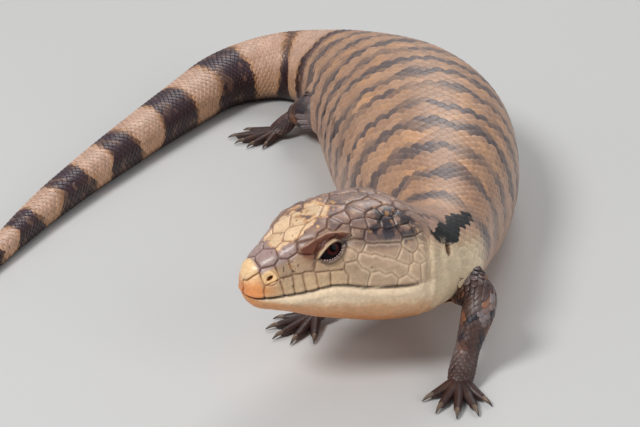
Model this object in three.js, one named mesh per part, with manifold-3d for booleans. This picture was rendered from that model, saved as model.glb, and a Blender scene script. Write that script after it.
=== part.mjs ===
// A blue-tongued skink, life size and still, lying in a bend with its head up.
// Millimetres, +Z up. The floor is z = 0 and the frame's origin is the middle of
// the animal's footprint. Every sub-part is one closed solid in its own mesh.
import * as THREE from "three";
import { mergeVertices } from "three/addons/utils/BufferGeometryUtils.js";
import Module from "manifold-3d";

const wasm = await Module();
wasm.setup();

// Driving dimensions
const GAP = 0.3; // what touching sub-parts keep between them
const SHORTEST_EDGE = 0.05;
const TOTAL_LENGTH = 522;
const MOUTH_HEIGHT = 33; // the mouth line's height above the floor
const HEAD_ROLL = 6; // degrees, the left cheek up
const ROLL_AXIS_HEIGHT = 36;
const ORIGIN = new THREE.Vector2(-27.2, -15); // the snout's tip, before centring
const CENTRING = new THREE.Vector2(29.2, -104.86);

// The spine seen from above: distance from the snout, and the heading towards the
// tail in degrees from +X. Between two rows the heading turns evenly.
const SPINE = [
  [0, 29],
  [54, 30],
  [72, 69],
  [90, 90],
  [140, 89],
  [180, 96],
  [220, 112],
  [255, 118],
  [280, 140],
  [305, 199],
  [335, 241],
  [380, 243],
  [430, 245],
  [485, 252],
  [TOTAL_LENGTH, 252],
];

// The outline: distance from the snout, half width, and the heights above the
// floor of the lowest line, of the widest line and of the topmost line.
const OUTLINE = [
  [0, 0.3, 33.2, 36.0, 38.0],
  [1, 4.4, 30.4, 34.6, 41.0],
  [3, 6.6, 28.2, 33.6, 43.2],
  [7, 8.8, 26.8, 33.0, 45.4],
  [12, 11.2, 25.2, 32.5, 48.0],
  [20, 14.6, 21.8, 32.5, 52.0],
  [28, 17.4, 19.2, 32.5, 54.6],
  [38, 20.0, 16.2, 32.5, 55.4],
  [48, 21.4, 14.8, 32.0, 54.0],
  [56, 20.4, 14.6, 31.0, 50.0],
  [64, 18.6, 13.8, 29.5, 45.4],
  [75, 17.4, 12.0, 27.0, 43.6],
  [88, 18.8, 6.5, 23.0, 45.0],
  [102, 23.0, 2.2, 19.5, 47.0],
  [125, 29.0, -0.8, 17.5, 49.5],
  [155, 34.0, -1.0, 16.5, 50.0],
  [185, 36.0, -1.0, 16.5, 49.0],
  [215, 33.5, -1.0, 16.5, 46.0],
  [240, 27.5, -1.0, 16.0, 41.0],
  [262, 21.5, -0.8, 15.0, 35.5],
  [285, 16.6, -0.8, 13.0, 29.6],
  [310, 13.4, -0.8, 11.2, 24.8],
  [340, 11.2, -0.8, 9.6, 20.8],
  [380, 9.0, -0.7, 8.0, 17.8],
  [430, 7.0, -0.6, 6.4, 14.0],
  [475, 5.0, -0.5, 4.8, 10.2],
  [505, 3.0, -0.3, 3.2, 6.6],
  [TOTAL_LENGTH, 0.6, 1.0, 1.8, 2.6],
];

// How square a section is, above and below its widest line
const SQUARENESS = [
  [0, 2.2, 2.2],
  [8, 2.6, 2.2],
  [20, 2.8, 2.2],
  [36, 2.8, 2.2],
  [50, 2.6, 2.3],
  [66, 2.2, 2.2],
  [110, 2.2, 2.6],
  [190, 2.1, 2.9],
  [270, 2.1, 2.6],
  [TOTAL_LENGTH, 2.0, 2.2],
];

const radians = THREE.MathUtils.degToRad;

// The row of a table at a distance from the snout, eased between its neighbours
function rowAt(table, s) {
  const last = table.length - 1;
  let i = 0;
  while (i < last - 1 && table[i + 1][0] < s) i++;
  const [a, b] = [table[i], table[i + 1]];
  const before = table[Math.max(i - 1, 0)];
  const after = table[Math.min(i + 2, last)];
  const span = b[0] - a[0];
  const t = THREE.MathUtils.clamp((s - a[0]) / span, 0, 1);
  return a.slice(1).map((va, k) => {
    const vb = b[k + 1];
    const slopeA = ((vb - before[k + 1]) / (b[0] - before[0])) * span;
    const slopeB = ((after[k + 1] - va) / (after[0] - a[0])) * span;
    const t2 = t * t;
    const t3 = t2 * t;
    return (
      va * (2 * t3 - 3 * t2 + 1) +
      slopeA * (t3 - 2 * t2 + t) +
      vb * (3 * t2 - 2 * t3) +
      slopeB * (t3 - t2)
    );
  });
}

function headingAt(s) {
  let i = 0;
  while (i < SPINE.length - 2 && SPINE[i + 1][0] < s) i++;
  const [s0, h0] = SPINE[i];
  const [s1, h1] = SPINE[i + 1];
  return radians(h0 + ((h1 - h0) * (s - s0)) / (s1 - s0));
}

// The spine's points, a step of 1 mm apart
const spinePoints = [ORIGIN.clone().add(CENTRING)];
for (let s = 0; s < TOTAL_LENGTH; s++) {
  const h = headingAt(s + 0.5);
  const step = new THREE.Vector2(Math.cos(h), Math.sin(h));
  spinePoints.push(spinePoints[s].clone().add(step));
}

function spineAt(s) {
  const i = THREE.MathUtils.clamp(Math.floor(s), 0, TOTAL_LENGTH - 1);
  return spinePoints[i].clone().lerp(spinePoints[i + 1], s - i);
}

// A point given by its distance from the snout, its distance to the animal's left
// of the spine and its height; the head's share of the roll fades out in the neck
function place(s, left, height) {
  const h = headingAt(s);
  const roll = radians(HEAD_ROLL) * (1 - THREE.MathUtils.smoothstep(s, 54, 96));
  const up = height - ROLL_AXIS_HEIGHT;
  const l = left * Math.cos(roll) - up * Math.sin(roll);
  const z = ROLL_AXIS_HEIGHT + left * Math.sin(roll) + up * Math.cos(roll);
  const p = spineAt(s);
  return new THREE.Vector3(p.x + l * Math.sin(h), p.y - l * Math.cos(h), z);
}

const power = (x, n) => Math.sign(x) * Math.abs(x) ** (2 / n);

// Cheeks, brows and the hollow before the eye, as millimetres added to the skin
function relief(s, angle) {
  const bump = (s0, ds, a0, da, height) => {
    const a = Math.asin(Math.sin(angle));
    return height * Math.exp(-(((s - s0) / ds) ** 2) - ((a - a0) / da) ** 2);
  };
  return (
    bump(46, 10, -0.25, 0.45, 1.5) + // the jaw's muscle
    bump(20, 9, 0.95, 0.4, 1.8) + // the brow
    bump(13, 6, 0.55, 0.28, -0.9) // the hollow before the eye
  );
}

// A point of the skin in the section's own terms; grow moves it outwards
function sectionPoint(s, angle, grow = 0) {
  const [halfWidth, low, widest, high] = rowAt(OUTLINE, s);
  const [above, below] = rowAt(SQUARENESS, s);
  const [c, n] = [Math.cos(angle), Math.sin(angle)];
  const square = n > 0 ? above : below;
  const out = grow + relief(s, angle);
  const rise = n > 0 ? high - widest : widest - low;
  const left = (Math.max(halfWidth, 0.3) + out) * power(c, square);
  return { left, height: widest + (rise + out) * power(n, square) };
}

function skin(s, angle, grow = 0) {
  const { left, height } = sectionPoint(s, angle, grow);
  return place(s, left, height);
}

// A closed solid over rings of points, with a flat cap at each end
function loft(rings) {
  const around = rings[0].length;
  const position = rings.flat().flatMap((p) => [p.x, p.y, p.z]);
  const index = [];
  for (let i = 0; i < rings.length - 1; i++)
    for (let j = 0; j < around; j++) {
      const a = i * around + j;
      const b = i * around + ((j + 1) % around);
      index.push(a, b, b + around, a, b + around, a + around);
    }
  for (const [start, turned] of [
    [0, true],
    [(rings.length - 1) * around, false],
  ]) {
    const middle = position.length / 3;
    const centre = rings[start / around]
      .reduce((sum, p) => sum.add(p), new THREE.Vector3())
      .divideScalar(around);
    position.push(centre.x, centre.y, centre.z);
    for (let j = 0; j < around; j++) {
      const a = start + j;
      const b = start + ((j + 1) % around);
      index.push(...(turned ? [middle, b, a] : [middle, a, b]));
    }
  }
  const geometry = new THREE.BufferGeometry();
  geometry.setAttribute(
    "position",
    new THREE.Float32BufferAttribute(position, 3),
  );
  geometry.setIndex(index);
  return geometry;
}

// three.js geometry to a manifold-3d solid, its faces turned outwards
function solid(geometry, matrix = new THREE.Matrix4()) {
  const bare = geometry.clone().applyMatrix4(matrix);
  bare.deleteAttribute("normal");
  bare.deleteAttribute("uv");
  const merged = mergeVertices(bare, 1e-4);
  const vertProperties = merged.attributes.position.array;
  const make = (triVerts) =>
    new wasm.Manifold(new wasm.Mesh({ numProp: 3, vertProperties, triVerts }));
  const made = make(new Uint32Array(merged.index.array));
  return made.volume() > 0
    ? made
    : make(new Uint32Array(merged.index.array).reverse());
}

// A solid to three.js geometry; only its largest closed body is kept
function geometryOf(made) {
  const clean = made.simplify(SHORTEST_EDGE);
  const [largest] = clean.decompose().sort((a, b) => b.volume() - a.volume());
  const mesh = largest.getMesh();
  const geometry = new THREE.BufferGeometry();
  geometry.setAttribute(
    "position",
    new THREE.Float32BufferAttribute(mesh.vertProperties, 3),
  );
  geometry.setIndex(new THREE.BufferAttribute(mesh.triVerts, 1));
  geometry.computeVertexNormals();
  return geometry;
}

const above = (made, height = 0) => made.trimByPlane([0, 0, 1], height);

// A length of the skin from one distance to another, closed at both ends; its rings
// stand closer together at the start where crowding is over 1
function skinLength(from, to, { step, around, grow = 0, crowding = 1 }) {
  const count = Math.max(2, Math.round((to - from) / step));
  const rings = [];
  for (let i = 0; i <= count; i++) {
    const s = from + (to - from) * (i / count) ** crowding;
    rings.push(
      Array.from({ length: around }, (_, j) =>
        skin(s, (2 * Math.PI * j) / around, grow),
      ),
    );
  }
  return solid(loft(rings));
}

// A tube through points, with a radius at each; flatness squeezes it in height
function tube(points, radii, { around = 10, steps = 12, flatness = 1 } = {}) {
  const curve = new THREE.CatmullRomCurve3(points, false, "centripetal");
  const upward = new THREE.Vector3(0, 0, 1);
  const rings = [];
  const last = radii.length - 1;
  for (let i = 0; i <= steps; i++) {
    const t = i / steps;
    const k = Math.min(Math.floor(t * last), last - 1);
    const radius = THREE.MathUtils.lerp(radii[k], radii[k + 1], t * last - k);
    const end = Math.sqrt(
      1 - Math.max(0, Math.abs(2 * t - 1) * 1.02 - 0.04) ** 10,
    );
    const centre = curve.getPoint(t);
    const along = curve.getTangent(t);
    const side = new THREE.Vector3().crossVectors(along, upward);
    if (side.length() < 0.2) side.set(1, 0, 0);
    side.normalize();
    const over = new THREE.Vector3().crossVectors(side, along).normalize();
    rings.push(
      Array.from({ length: around }, (_, j) => {
        const a = (2 * Math.PI * j) / around;
        return centre
          .clone()
          .addScaledVector(side, radius * end * Math.cos(a))
          .addScaledVector(over, radius * end * flatness * Math.sin(a));
      }),
    );
  }
  return solid(loft(rings));
}

// Where one sub-part of the trunk ends and the next begins
const TRUNK = [
  ["neck", 66, 90, 6, 30],
  ["torso_front", 90, 140, 8, 32],
  ["torso_middle", 140, 195, 9, 32],
  ["torso_rear", 195, 245, 9, 32],
  ["pelvis", 245, 282, 7, 28],
  ["tail_base", 282, 330, 6, 24],
  ["tail_front", 330, 395, 10, 20],
  ["tail_rear", 395, 460, 9, 20],
  ["tail_tip", 460, TOTAL_LENGTH, 8, 16],
];

// The head: what is cut from it and what is set on it. Its own frame runs from
// the snout's tip towards the neck, up and to the left.
const HEAD_END = 66;
const EYE = { along: 23.5, left: 9.8, height: 45.0, radius: 5.0 };
const LID_THICKNESS = 1.3;
const EYE_OPENING = { front: -3.8, rear: 5.1, tilt: 20, turned: 12, up: 8 };
const LOWER_LID = { x: -0.4, y: -4.6 }; // where each lid's curve is drawn towards
const UPPER_LID = { x: 1.6, y: 4.7 };
const NOSTRIL = { along: 4.9, left: 7.0, height: 39.3, radius: 1.0 };
const EAR = { along: 58, left: 19.0, height: 38.5, size: [1.7, 3.0, 3.4] };
const MOUTH_CORNER = 47;
const LIP_GROOVE = { width: 1.0, depth: 0.8 };

// The mouth line seen from the side, from the snout's tip to its corner
const mouthLine = new THREE.SplineCurve([
  new THREE.Vector2(-4, MOUTH_HEIGHT + 0.4),
  new THREE.Vector2(2, MOUTH_HEIGHT - 0.2),
  new THREE.Vector2(8, MOUTH_HEIGHT + 0.2),
  new THREE.Vector2(15, MOUTH_HEIGHT + 1.0),
  new THREE.Vector2(23, MOUTH_HEIGHT + 2.2),
  new THREE.Vector2(33, MOUTH_HEIGHT + 0.2),
  new THREE.Vector2(40, MOUTH_HEIGHT - 0.7),
  new THREE.Vector2(MOUTH_CORNER, MOUTH_HEIGHT - 1.1),
]);

const headSpan = { step: 2.6, around: 36, crowding: 1.35 };
const headOrigin = place(0, 0, 0);
const headBasis = new THREE.Matrix4().makeBasis(
  place(1, 0, 0).sub(headOrigin),
  place(0, 0, 1).sub(headOrigin),
  place(0, 1, 0).sub(headOrigin),
);
headBasis.setPosition(headOrigin);

// A side profile of the head made into a solid right across it
function acrossHead(points) {
  const geometry = new THREE.ExtrudeGeometry(new THREE.Shape(points), {
    depth: 80,
    bevelEnabled: false,
  });
  return solid(geometry.translate(0, 0, -40), headBasis);
}

// All that lies under the mouth line, ahead of the jaw's joint
function jawSpace(grow) {
  const line = mouthLine.getPoints(16).map((p) => new THREE.Vector2(p.x, p.y + grow));
  return acrossHead([
    ...line,
    new THREE.Vector2(MOUTH_CORNER + 7 + grow, 0),
    new THREE.Vector2(-4, 0),
  ]);
}

function mouthSlab(width) {
  const line = mouthLine.getPoints(16);
  const side = (dz) => line.map((p) => new THREE.Vector2(p.x, p.y + dz));
  return acrossHead([...side(width / 2), ...side(-width / 2).reverse()]);
}

function ball(along, left, height, radii, detail = 7) {
  const [a, l, h] = radii;
  const geometry = new THREE.SphereGeometry(1, 2 * detail, detail);
  const placed = headBasis.clone().multiply(
    new THREE.Matrix4().makeTranslation(along, height, left),
  );
  return solid(geometry.scale(a, h, l), placed);
}

// The almond between the lids, as a prism that starts inside the eyeball
function eyeOpening(side) {
  const { front, rear, tilt, turned, up } = EYE_OPENING;
  const shape = new THREE.Shape();
  shape.moveTo(front, 0);
  shape.quadraticCurveTo(LOWER_LID.x, LOWER_LID.y, rear, 0);
  shape.quadraticCurveTo(UPPER_LID.x, UPPER_LID.y, front, 0);
  const geometry = new THREE.ExtrudeGeometry(shape, {
    depth: 14,
    bevelEnabled: false,
    curveSegments: 8,
  });
  geometry.rotateZ(radians(tilt));
  geometry.rotateX(radians(-up));
  geometry.rotateY(radians(-turned));
  geometry.scale(1, 1, side);
  const placed = headBasis.clone().multiply(
    new THREE.Matrix4().makeTranslation(EYE.along, EYE.height, side * EYE.left),
  );
  return solid(geometry, placed);
}

// The head's shields. Each has one or more seeds, and a shield is the part of the
// skin that lies nearer to its own seeds than to any other's. A seed is a distance
// from the snout and an angle in degrees, up from the widest line of the left side.
const MIDDLE = 90;
const SHIELDS = [
  [[6.0, 66]],
  [[10.8, MIDDLE]],
  [[11.3, 59]],
  [[15.0, 78]],
  [[20, MIDDLE], [23.5, MIDDLE]],
  [[18, 60]],
  [[21.9, 63]],
  [[25.8, 61]],
  [[30.2, 61]],
  [[28.5, 79]],
  [[34, MIDDLE], [38, MIDDLE]],
  [[35, 74], [39, 72]],
  [[35.5, 54]],
  [[40.5, 55]],
  [[44.5, 80]],
  [[45.5, 61]],
  [[31.5, 42]],
  [[36, 37], [41, 37]],
  [[34, 23], [39, 21.5]],
  [[35.5, 11], [41, 9.5]],
  [[43.6, 17]],
  [[46.2, 25]],
  [[46, 42]],
  [[5.2, 30]],
  [[6.4, 9]],
  [[9.4, 9.5]],
  [[12.4, 10]],
  [[15.5, 10]],
  [[19, 10]],
  [[23.3, 10]],
  [[29, 8]],
  [[36.5, 3]],
];
// Skin between the shields that isn't raised
const PLAIN_SKIN = [
  [[1.2, 60], [1.2, 20]],
  [[9.7, 34]],
  [[13.9, 32]],
  [[18.3, 20.5]],
  [[22.5, 19.5]],
  [[27.6, 19]],
  [[20, 34], [23, 36], [26, 38]],
  [[17, 45], [22, 47], [27, 47]],
  [[49.2, 13], [50, 30], [51, 50], [51, 70]],
  [[51, MIDDLE]],
];
const SHIELD = { rise: 0.45, sunk: 0.5, seam: 0.2, bevel: 0.35, reach: 9, corners: 8 };

const shieldSeeds = [];
for (const [kind, groups] of [
  ["shield", SHIELDS],
  ["plain", PLAIN_SKIN],
])
  groups.forEach((seeds, index) => {
    for (const side of [1, -1]) {
      const middle = seeds.some(([, degrees]) => degrees === MIDDLE);
      const shield = `${kind} ${index} ${middle ? 0 : side}`;
      for (const [s, degrees] of seeds) {
        const angle = radians(side > 0 ? degrees : 180 - degrees);
        shieldSeeds.push({ shield, s, angle, point: skin(s, angle) });
      }
    }
  });

function shieldAt(s, angle) {
  const p = skin(s, angle);
  let nearest = shieldSeeds[0];
  for (const seed of shieldSeeds)
    if (seed.point.distanceToSquared(p) < nearest.point.distanceToSquared(p)) nearest = seed;
  const lip = mouthLine.getPointAt(THREE.MathUtils.clamp((s + 4) / (MOUTH_CORNER + 4), 0, 1));
  const dry = sectionPoint(s, angle).height > lip.y + 1.2;
  return dry ? nearest.shield : "mouth";
}

// One raised shield: rings of points out from its middle, the last below the skin
function makeShield(name) {
  const own = shieldSeeds.filter(({ shield }) => shield === name);
  const s0 = own.reduce((sum, { s }) => sum + s, 0) / own.length;
  const a0 = own.reduce((sum, { angle }) => sum + angle, 0) / own.length;
  const across = place(s0, 0, rowAt(OUTLINE, s0)[2]).distanceTo(skin(s0, a0));
  const { rise, sunk, seam, bevel, reach, corners } = SHIELD;
  const rays = Array.from({ length: corners }, (_, k) => {
    const t = (2 * Math.PI * (k + 0.5)) / corners;
    const [ds, da] = [Math.cos(t), Math.sin(t) / across];
    let far = 0.5;
    while (far < reach && shieldAt(s0 + far * ds, a0 + far * da) === name) far += 0.1;
    return { far, at: (d, grow) => skin(s0 + d * ds, a0 + d * da, grow) };
  });
  const ring = (distance, grow) => rays.map(({ far, at }) => at(distance(far), grow));
  return solid(
    loft([
      ring((far) => Math.max(far - seam - bevel, far * 0.6), rise),
      ring((far) => Math.max(far - seam, far * 0.7), -sunk),
    ]),
  );
}

function makeHead() {
  const whole = skinLength(0, HEAD_END - GAP / 2, headSpan);
  const core = skinLength(0, HEAD_END, { ...headSpan, grow: -LIP_GROOVE.depth });
  const groove = mouthSlab(LIP_GROOVE.width).subtract(core);
  const jaw = whole.intersect(jawSpace(0)).subtract(groove);
  const raised = new Set(
    shieldSeeds.map(({ shield }) => shield).filter((name) => name.startsWith("shield")),
  );
  const shields = wasm.Manifold.union([...raised].map(makeShield));
  let head = whole.add(shields).subtract(jawSpace(GAP)).subtract(groove);
  const eyes = {};
  for (const [name, side] of [
    ["left", 1],
    ["right", -1],
  ]) {
    const at = [EYE.along, side * EYE.left, EYE.height];
    const rounded = (r) => ball(...at, [r, r, r]);
    eyes[name] = rounded(EYE.radius);
    head = head
      .add(rounded(EYE.radius + LID_THICKNESS))
      .subtract(rounded(EYE.radius + GAP))
      .subtract(eyeOpening(side));
    const nose = [NOSTRIL.along, side * NOSTRIL.left, NOSTRIL.height];
    const r = NOSTRIL.radius;
    head = head.subtract(ball(...nose, [r, 2 * r, r], 5));
    const ear = [EAR.along, side * EAR.left, EAR.height];
    head = head.subtract(ball(...ear, EAR.size, 7));
  }
  return { head, jaw, eyes };
}

// Limbs. Each has its joints as points of the floor plan with a height, the
// radius at each joint, and the way the foot points, in degrees from +X.
const TOE_RADIUS = 1.5;
const CLAW_LENGTH = 3.2;
const CUFF = { radius: 9, length: 30 };
const FORE_TOES = [
  [-48, 7.5],
  [-22, 10],
  [0, 11],
  [22, 10],
  [46, 7],
];
const HIND_TOES = [
  [-40, 7],
  [-18, 10],
  [2, 12],
  [22, 13.5],
  [50, 9],
];
const LIMBS = {
  foreleg_left: {
    joints: [[37, 14, 24], [45.5, 0.5, 23], [40.5, -7.5, 9], [38, -15, 2.8]],
    radii: [7, 5.3, 4.2, 5],
    points: -97,
    toes: FORE_TOES,
    mirrored: false,
  },
  foreleg_right: {
    joints: [[24, 36, 22], [6, 44, 22], [-2, 31, 9], [-6, 25, 2.8]],
    radii: [7, 5.6, 4.2, 5],
    points: -140,
    toes: FORE_TOES,
    mirrored: true,
  },
  hindleg_right: {
    joints: [[8, 196, 16], [-7, 170, 15], [-15, 183, 8], [-22, 178, 3]],
    radii: [9.5, 7.4, 4.8, 5.6],
    points: 205,
    toes: HIND_TOES,
    mirrored: true,
  },
  hindleg_left: {
    joints: [[22, 204, 16], [40, 194, 15], [42, 208, 8], [49, 204, 3]],
    radii: [9.5, 7.4, 4.8, 5.6],
    points: -15,
    toes: HIND_TOES,
    mirrored: false,
  },
};

const planPoint = ([x, y, z]) =>
  new THREE.Vector3(x + CENTRING.x, y + CENTRING.y, z);

// One toe with its claw, from the middle of the foot
function toe(middle, angle, length) {
  const way = new THREE.Vector3(Math.cos(angle), Math.sin(angle), 0);
  const ahead = (d, z) => middle.clone().addScaledVector(way, d).setZ(z);
  const r = TOE_RADIUS;
  const flesh = tube(
    [ahead(1, 2.4), ahead(4.5, 2.0), ahead(length * 0.7, r), ahead(length, r * 0.7)],
    [r * 1.15, r * 1.1, r, r * 0.8],
    { around: 6, steps: 4 },
  );
  const claw = tube(
    [ahead(length - 2, 1.3), ahead(length + 1, 1.3), ahead(length + CLAW_LENGTH, 0.4)],
    [0.9, 0.7, 0.3],
    { around: 4, steps: 3 },
  );
  return wasm.Manifold.union([flesh, claw]);
}

function makeLimb({ joints, radii, points, toes, mirrored }) {
  const at = joints.map(planPoint);
  const [root, bend, end] = radii;
  const span = { around: 12, steps: 5 };
  const upper = tube(at.slice(0, 2), [root, bend * 1.05, bend * 0.9], span);
  const lower = tube(at.slice(1, 3), [bend * 0.9, (bend + end) / 2, end], span);
  const knee = new THREE.SphereGeometry(bend * 0.93, 12, 8).translate(...at[1].toArray());
  const [wrist, middle] = at.slice(2);
  const forward = radians(points);
  const front = middle
    .clone()
    .add(new THREE.Vector3(Math.cos(forward), Math.sin(forward), 0).multiplyScalar(4.5));
  const palm = tube(
    [wrist, middle, front.setZ(2.2)],
    [radii[2], radii[3], radii[3] * 0.8],
    { around: 10, steps: 5, flatness: 0.62 },
  );
  const fan = toes.map(([turn, length]) =>
    toe(middle, forward + radians(mirrored ? -turn : turn), length + 4),
  );
  const leg = wasm.Manifold.union([upper, lower, solid(knee), palm]);
  const down = middle.clone().sub(wrist).normalize();
  const cuff = new THREE.CylinderGeometry(CUFF.radius, CUFF.radius, CUFF.length, 16);
  cuff.translate(0, CUFF.length / 2 - GAP / 2, 0);
  const turn = new THREE.Quaternion().setFromUnitVectors(new THREE.Vector3(0, 1, 0), down);
  const cutAt = wrist.clone().lerp(middle, 0.15);
  const placed = new THREE.Matrix4().compose(cutAt, turn, new THREE.Vector3(1, 1, 1));
  const foot = wasm.Manifold.union([palm, ...fan]);
  return {
    leg: above(leg.subtract(solid(cuff, placed))),
    foot: above(foot.trimByPlane(down.toArray(), down.dot(cutAt) + GAP / 2)),
  };
}

// The materials, one for each kind of surface
const material = (color, roughness) =>
  new THREE.MeshStandardMaterial({ color, roughness, metalness: 0 });
const SKIN = material(0xb08d6c, 0.5);
const HEAD_SKIN = material(0xa89282, 0.42);
const JAW_SKIN = material(0xd9b78c, 0.45);
const LEG_SKIN = material(0x6b564b, 0.5);
const TAIL_SKIN = material(0x8c6e5e, 0.5);
const EYE_SURFACE = material(0x2a1210, 0.1);

const skink = new THREE.Group();
function addNode(name, made, surface) {
  const mesh = new THREE.Mesh(geometryOf(made), surface);
  mesh.name = name;
  skink.add(mesh);
}

const { head, jaw, eyes } = makeHead();
addNode("head", head, HEAD_SKIN);
addNode("lower_jaw", jaw, JAW_SKIN);
addNode("eye_left", eyes.left, EYE_SURFACE);
addNode("eye_right", eyes.right, EYE_SURFACE);
for (const [name, from, to, step, around] of TRUNK) {
  const ends = [from + GAP / 2, Math.min(to, TOTAL_LENGTH) - GAP / 2];
  const length = above(skinLength(...ends, { step, around }));
  addNode(name, length, name.startsWith("tail") ? TAIL_SKIN : SKIN);
}
const shoulders = skinLength(30, 135, { step: 4, around: 36, grow: GAP });
const hips = skinLength(215, 310, { step: 5, around: 32, grow: GAP });
for (const [name, limb] of Object.entries(LIMBS)) {
  const { leg, foot } = makeLimb(limb);
  const trunk = name.startsWith("fore") ? shoulders : hips;
  addNode(name, leg.subtract(trunk), LEG_SKIN);
  addNode(name.replace("leg", "foot"), foot.subtract(trunk), LEG_SKIN);
}

export default skink;
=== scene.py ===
import math

import bpy
import numpy as np
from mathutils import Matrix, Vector
from mathutils.bvhtree import BVHTree


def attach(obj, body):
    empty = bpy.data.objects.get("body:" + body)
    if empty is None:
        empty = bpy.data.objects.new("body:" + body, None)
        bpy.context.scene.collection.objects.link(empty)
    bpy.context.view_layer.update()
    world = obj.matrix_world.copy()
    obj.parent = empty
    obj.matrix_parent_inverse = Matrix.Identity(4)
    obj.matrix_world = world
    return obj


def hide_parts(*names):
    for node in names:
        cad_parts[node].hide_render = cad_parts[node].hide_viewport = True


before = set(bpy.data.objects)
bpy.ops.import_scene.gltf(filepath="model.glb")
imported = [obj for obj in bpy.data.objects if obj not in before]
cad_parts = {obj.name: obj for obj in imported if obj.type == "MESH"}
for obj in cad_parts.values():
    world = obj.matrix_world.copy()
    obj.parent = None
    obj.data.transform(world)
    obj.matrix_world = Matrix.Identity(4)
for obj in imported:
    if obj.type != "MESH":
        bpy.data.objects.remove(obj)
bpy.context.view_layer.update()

# A blue-tongued skink. Shapes are worked out in millimetres in the frame of the
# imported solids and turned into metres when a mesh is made. The body's surface is
# given by s, the distance from the snout along the spine, and by an angle round
# the section: 0 is the animal's left, 90 degrees its top.
MM = 0.001
TOTAL_LENGTH = 522
MOUTH_HEIGHT = 33
HEAD_ROLL = 6
ROLL_AXIS_HEIGHT = 36
ORIGIN = np.array([-27.2, -15.0])
CENTRING = np.array([29.2, -104.86])
FLOOR_CLEARANCE = 0.05
# Where the head's roll fades out behind it
NECK_TWIST = (54, 96)
# How many points are compared with others at a time
CHUNK = 20000

# Distance from the snout and the heading towards the tail, in degrees from +X
SPINE = np.array([
    [0, 29], [54, 30], [72, 69], [90, 90], [140, 89], [180, 96], [220, 112], [255, 118],
    [280, 140], [305, 199], [335, 241], [380, 243], [430, 245], [485, 252], [TOTAL_LENGTH, 252],
], float)

# Distance from the snout, half width, and the heights of the lowest line, of the
# widest line and of the topmost line
OUTLINE = np.array([
    [0, 0.3, 33.2, 36.0, 38.0], [1, 4.4, 30.4, 34.6, 41.0], [3, 6.6, 28.2, 33.6, 43.2],
    [7, 8.8, 26.8, 33.0, 45.4], [12, 11.2, 25.2, 32.5, 48.0], [20, 14.6, 21.8, 32.5, 52.0],
    [28, 17.4, 19.2, 32.5, 54.6], [38, 20.0, 16.2, 32.5, 55.4], [48, 21.4, 14.8, 32.0, 54.0],
    [56, 20.4, 14.6, 31.0, 50.0], [64, 18.6, 13.8, 29.5, 45.4], [75, 17.4, 12.0, 27.0, 43.6],
    [88, 18.8, 6.5, 23.0, 45.0], [102, 23.0, 2.2, 19.5, 47.0], [125, 29.0, -0.8, 17.5, 49.5],
    [155, 34.0, -1.0, 16.5, 50.0], [185, 36.0, -1.0, 16.5, 49.0], [215, 33.5, -1.0, 16.5, 46.0],
    [240, 27.5, -1.0, 16.0, 41.0], [262, 21.5, -0.8, 15.0, 35.5], [285, 16.6, -0.8, 13.0, 29.6],
    [310, 13.4, -0.8, 11.2, 24.8], [340, 11.2, -0.8, 9.6, 20.8], [380, 9.0, -0.7, 8.0, 17.8],
    [430, 7.0, -0.6, 6.4, 14.0], [475, 5.0, -0.5, 4.8, 10.2], [505, 3.0, -0.3, 3.2, 6.6],
    [TOTAL_LENGTH, 0.6, 1.0, 1.8, 2.6],
])

# Distance from the snout, and how square a section is above and below its widest line
SQUARENESS = np.array([
    [0, 2.2, 2.2], [8, 2.6, 2.2], [20, 2.8, 2.2], [36, 2.8, 2.2], [50, 2.6, 2.3],
    [66, 2.2, 2.2], [110, 2.2, 2.6], [190, 2.1, 2.9], [270, 2.1, 2.6], [TOTAL_LENGTH, 2.0, 2.2],
])

TAU = 2 * math.pi


# Small helpers for numbers and colours
def ease(x, low, high):
    """0 below low and 1 above high, with a smooth way between."""
    t = np.clip((x - low) / (high - low), 0, 1)
    return t * t * (3 - 2 * t)


def fade(x, low, high):
    return 1 - ease(x, low, high)


def bell(x, middle, width):
    return np.exp(-(((x - middle) / width) ** 2))


def spot(s, up, middle, length, height, spread):
    """A soft spot on the body, from its middle and its spread along and round it."""
    return bell(s, middle, length) * bell(up, height, spread)


def lengths_of(vectors):
    return np.linalg.norm(vectors, axis=-1)


def unit(vectors):
    return vectors / np.maximum(lengths_of(vectors), 1e-9)[..., None]


def distances(line):
    """The way along a line from its first point to each of its points."""
    return np.concatenate([[0], np.cumsum(lengths_of(np.diff(line, axis=0)))])


def level(degrees):
    """The level direction at an angle from +X."""
    return np.array([math.cos(math.radians(degrees)), math.sin(math.radians(degrees)), 0])


def rotation(axis, degrees):
    """A turn about one of the three axes."""
    c, s = math.cos(math.radians(degrees)), math.sin(math.radians(degrees))
    i, j = (axis + 1) % 3, (axis + 2) % 3
    turn = np.eye(3)
    turn[[i, j], [i, j]] = c
    turn[i, j], turn[j, i] = -s, s
    return turn


def ring_grid(along, around, first=0.0):
    """Two grids: each ring's value along, and angles from first all the way round."""
    return np.meshgrid(along, first + TAU * np.arange(around) / around, indexing="ij")


def folded(angle):
    """The angle above the widest line in degrees, the same on both sides."""
    return np.degrees(np.arcsin(np.sin(angle)))


def facing(degrees, side):
    """The angle of a place by its degrees on the left, or mirrored to the right."""
    return math.radians(degrees if side > 0 else 180 - degrees)


def srgb(red, green, blue):
    c = np.array([red, green, blue]) / 255
    return np.where(c <= 0.04045, c / 12.92, ((c + 0.055) / 1.055) ** 2.4)


def blend(colours, colour, amount):
    """Paints colour over an array of colours by an amount from 0 to 1 at each."""
    amount = np.clip(amount, 0, 1)[..., None]
    return colours * (1 - amount) + np.asarray(colour) * amount


def painted(shade, layers):
    """Colours by their names in PAINT, laid over a shade in turn by their amounts."""
    for name, amount in layers:
        shade = blend(shade, PAINT[name], amount)
    return shade


# Large numbers that scatter the cells of random_at
SCATTER = [374761393, 668265263, 2147483647, 1274126177]


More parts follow.
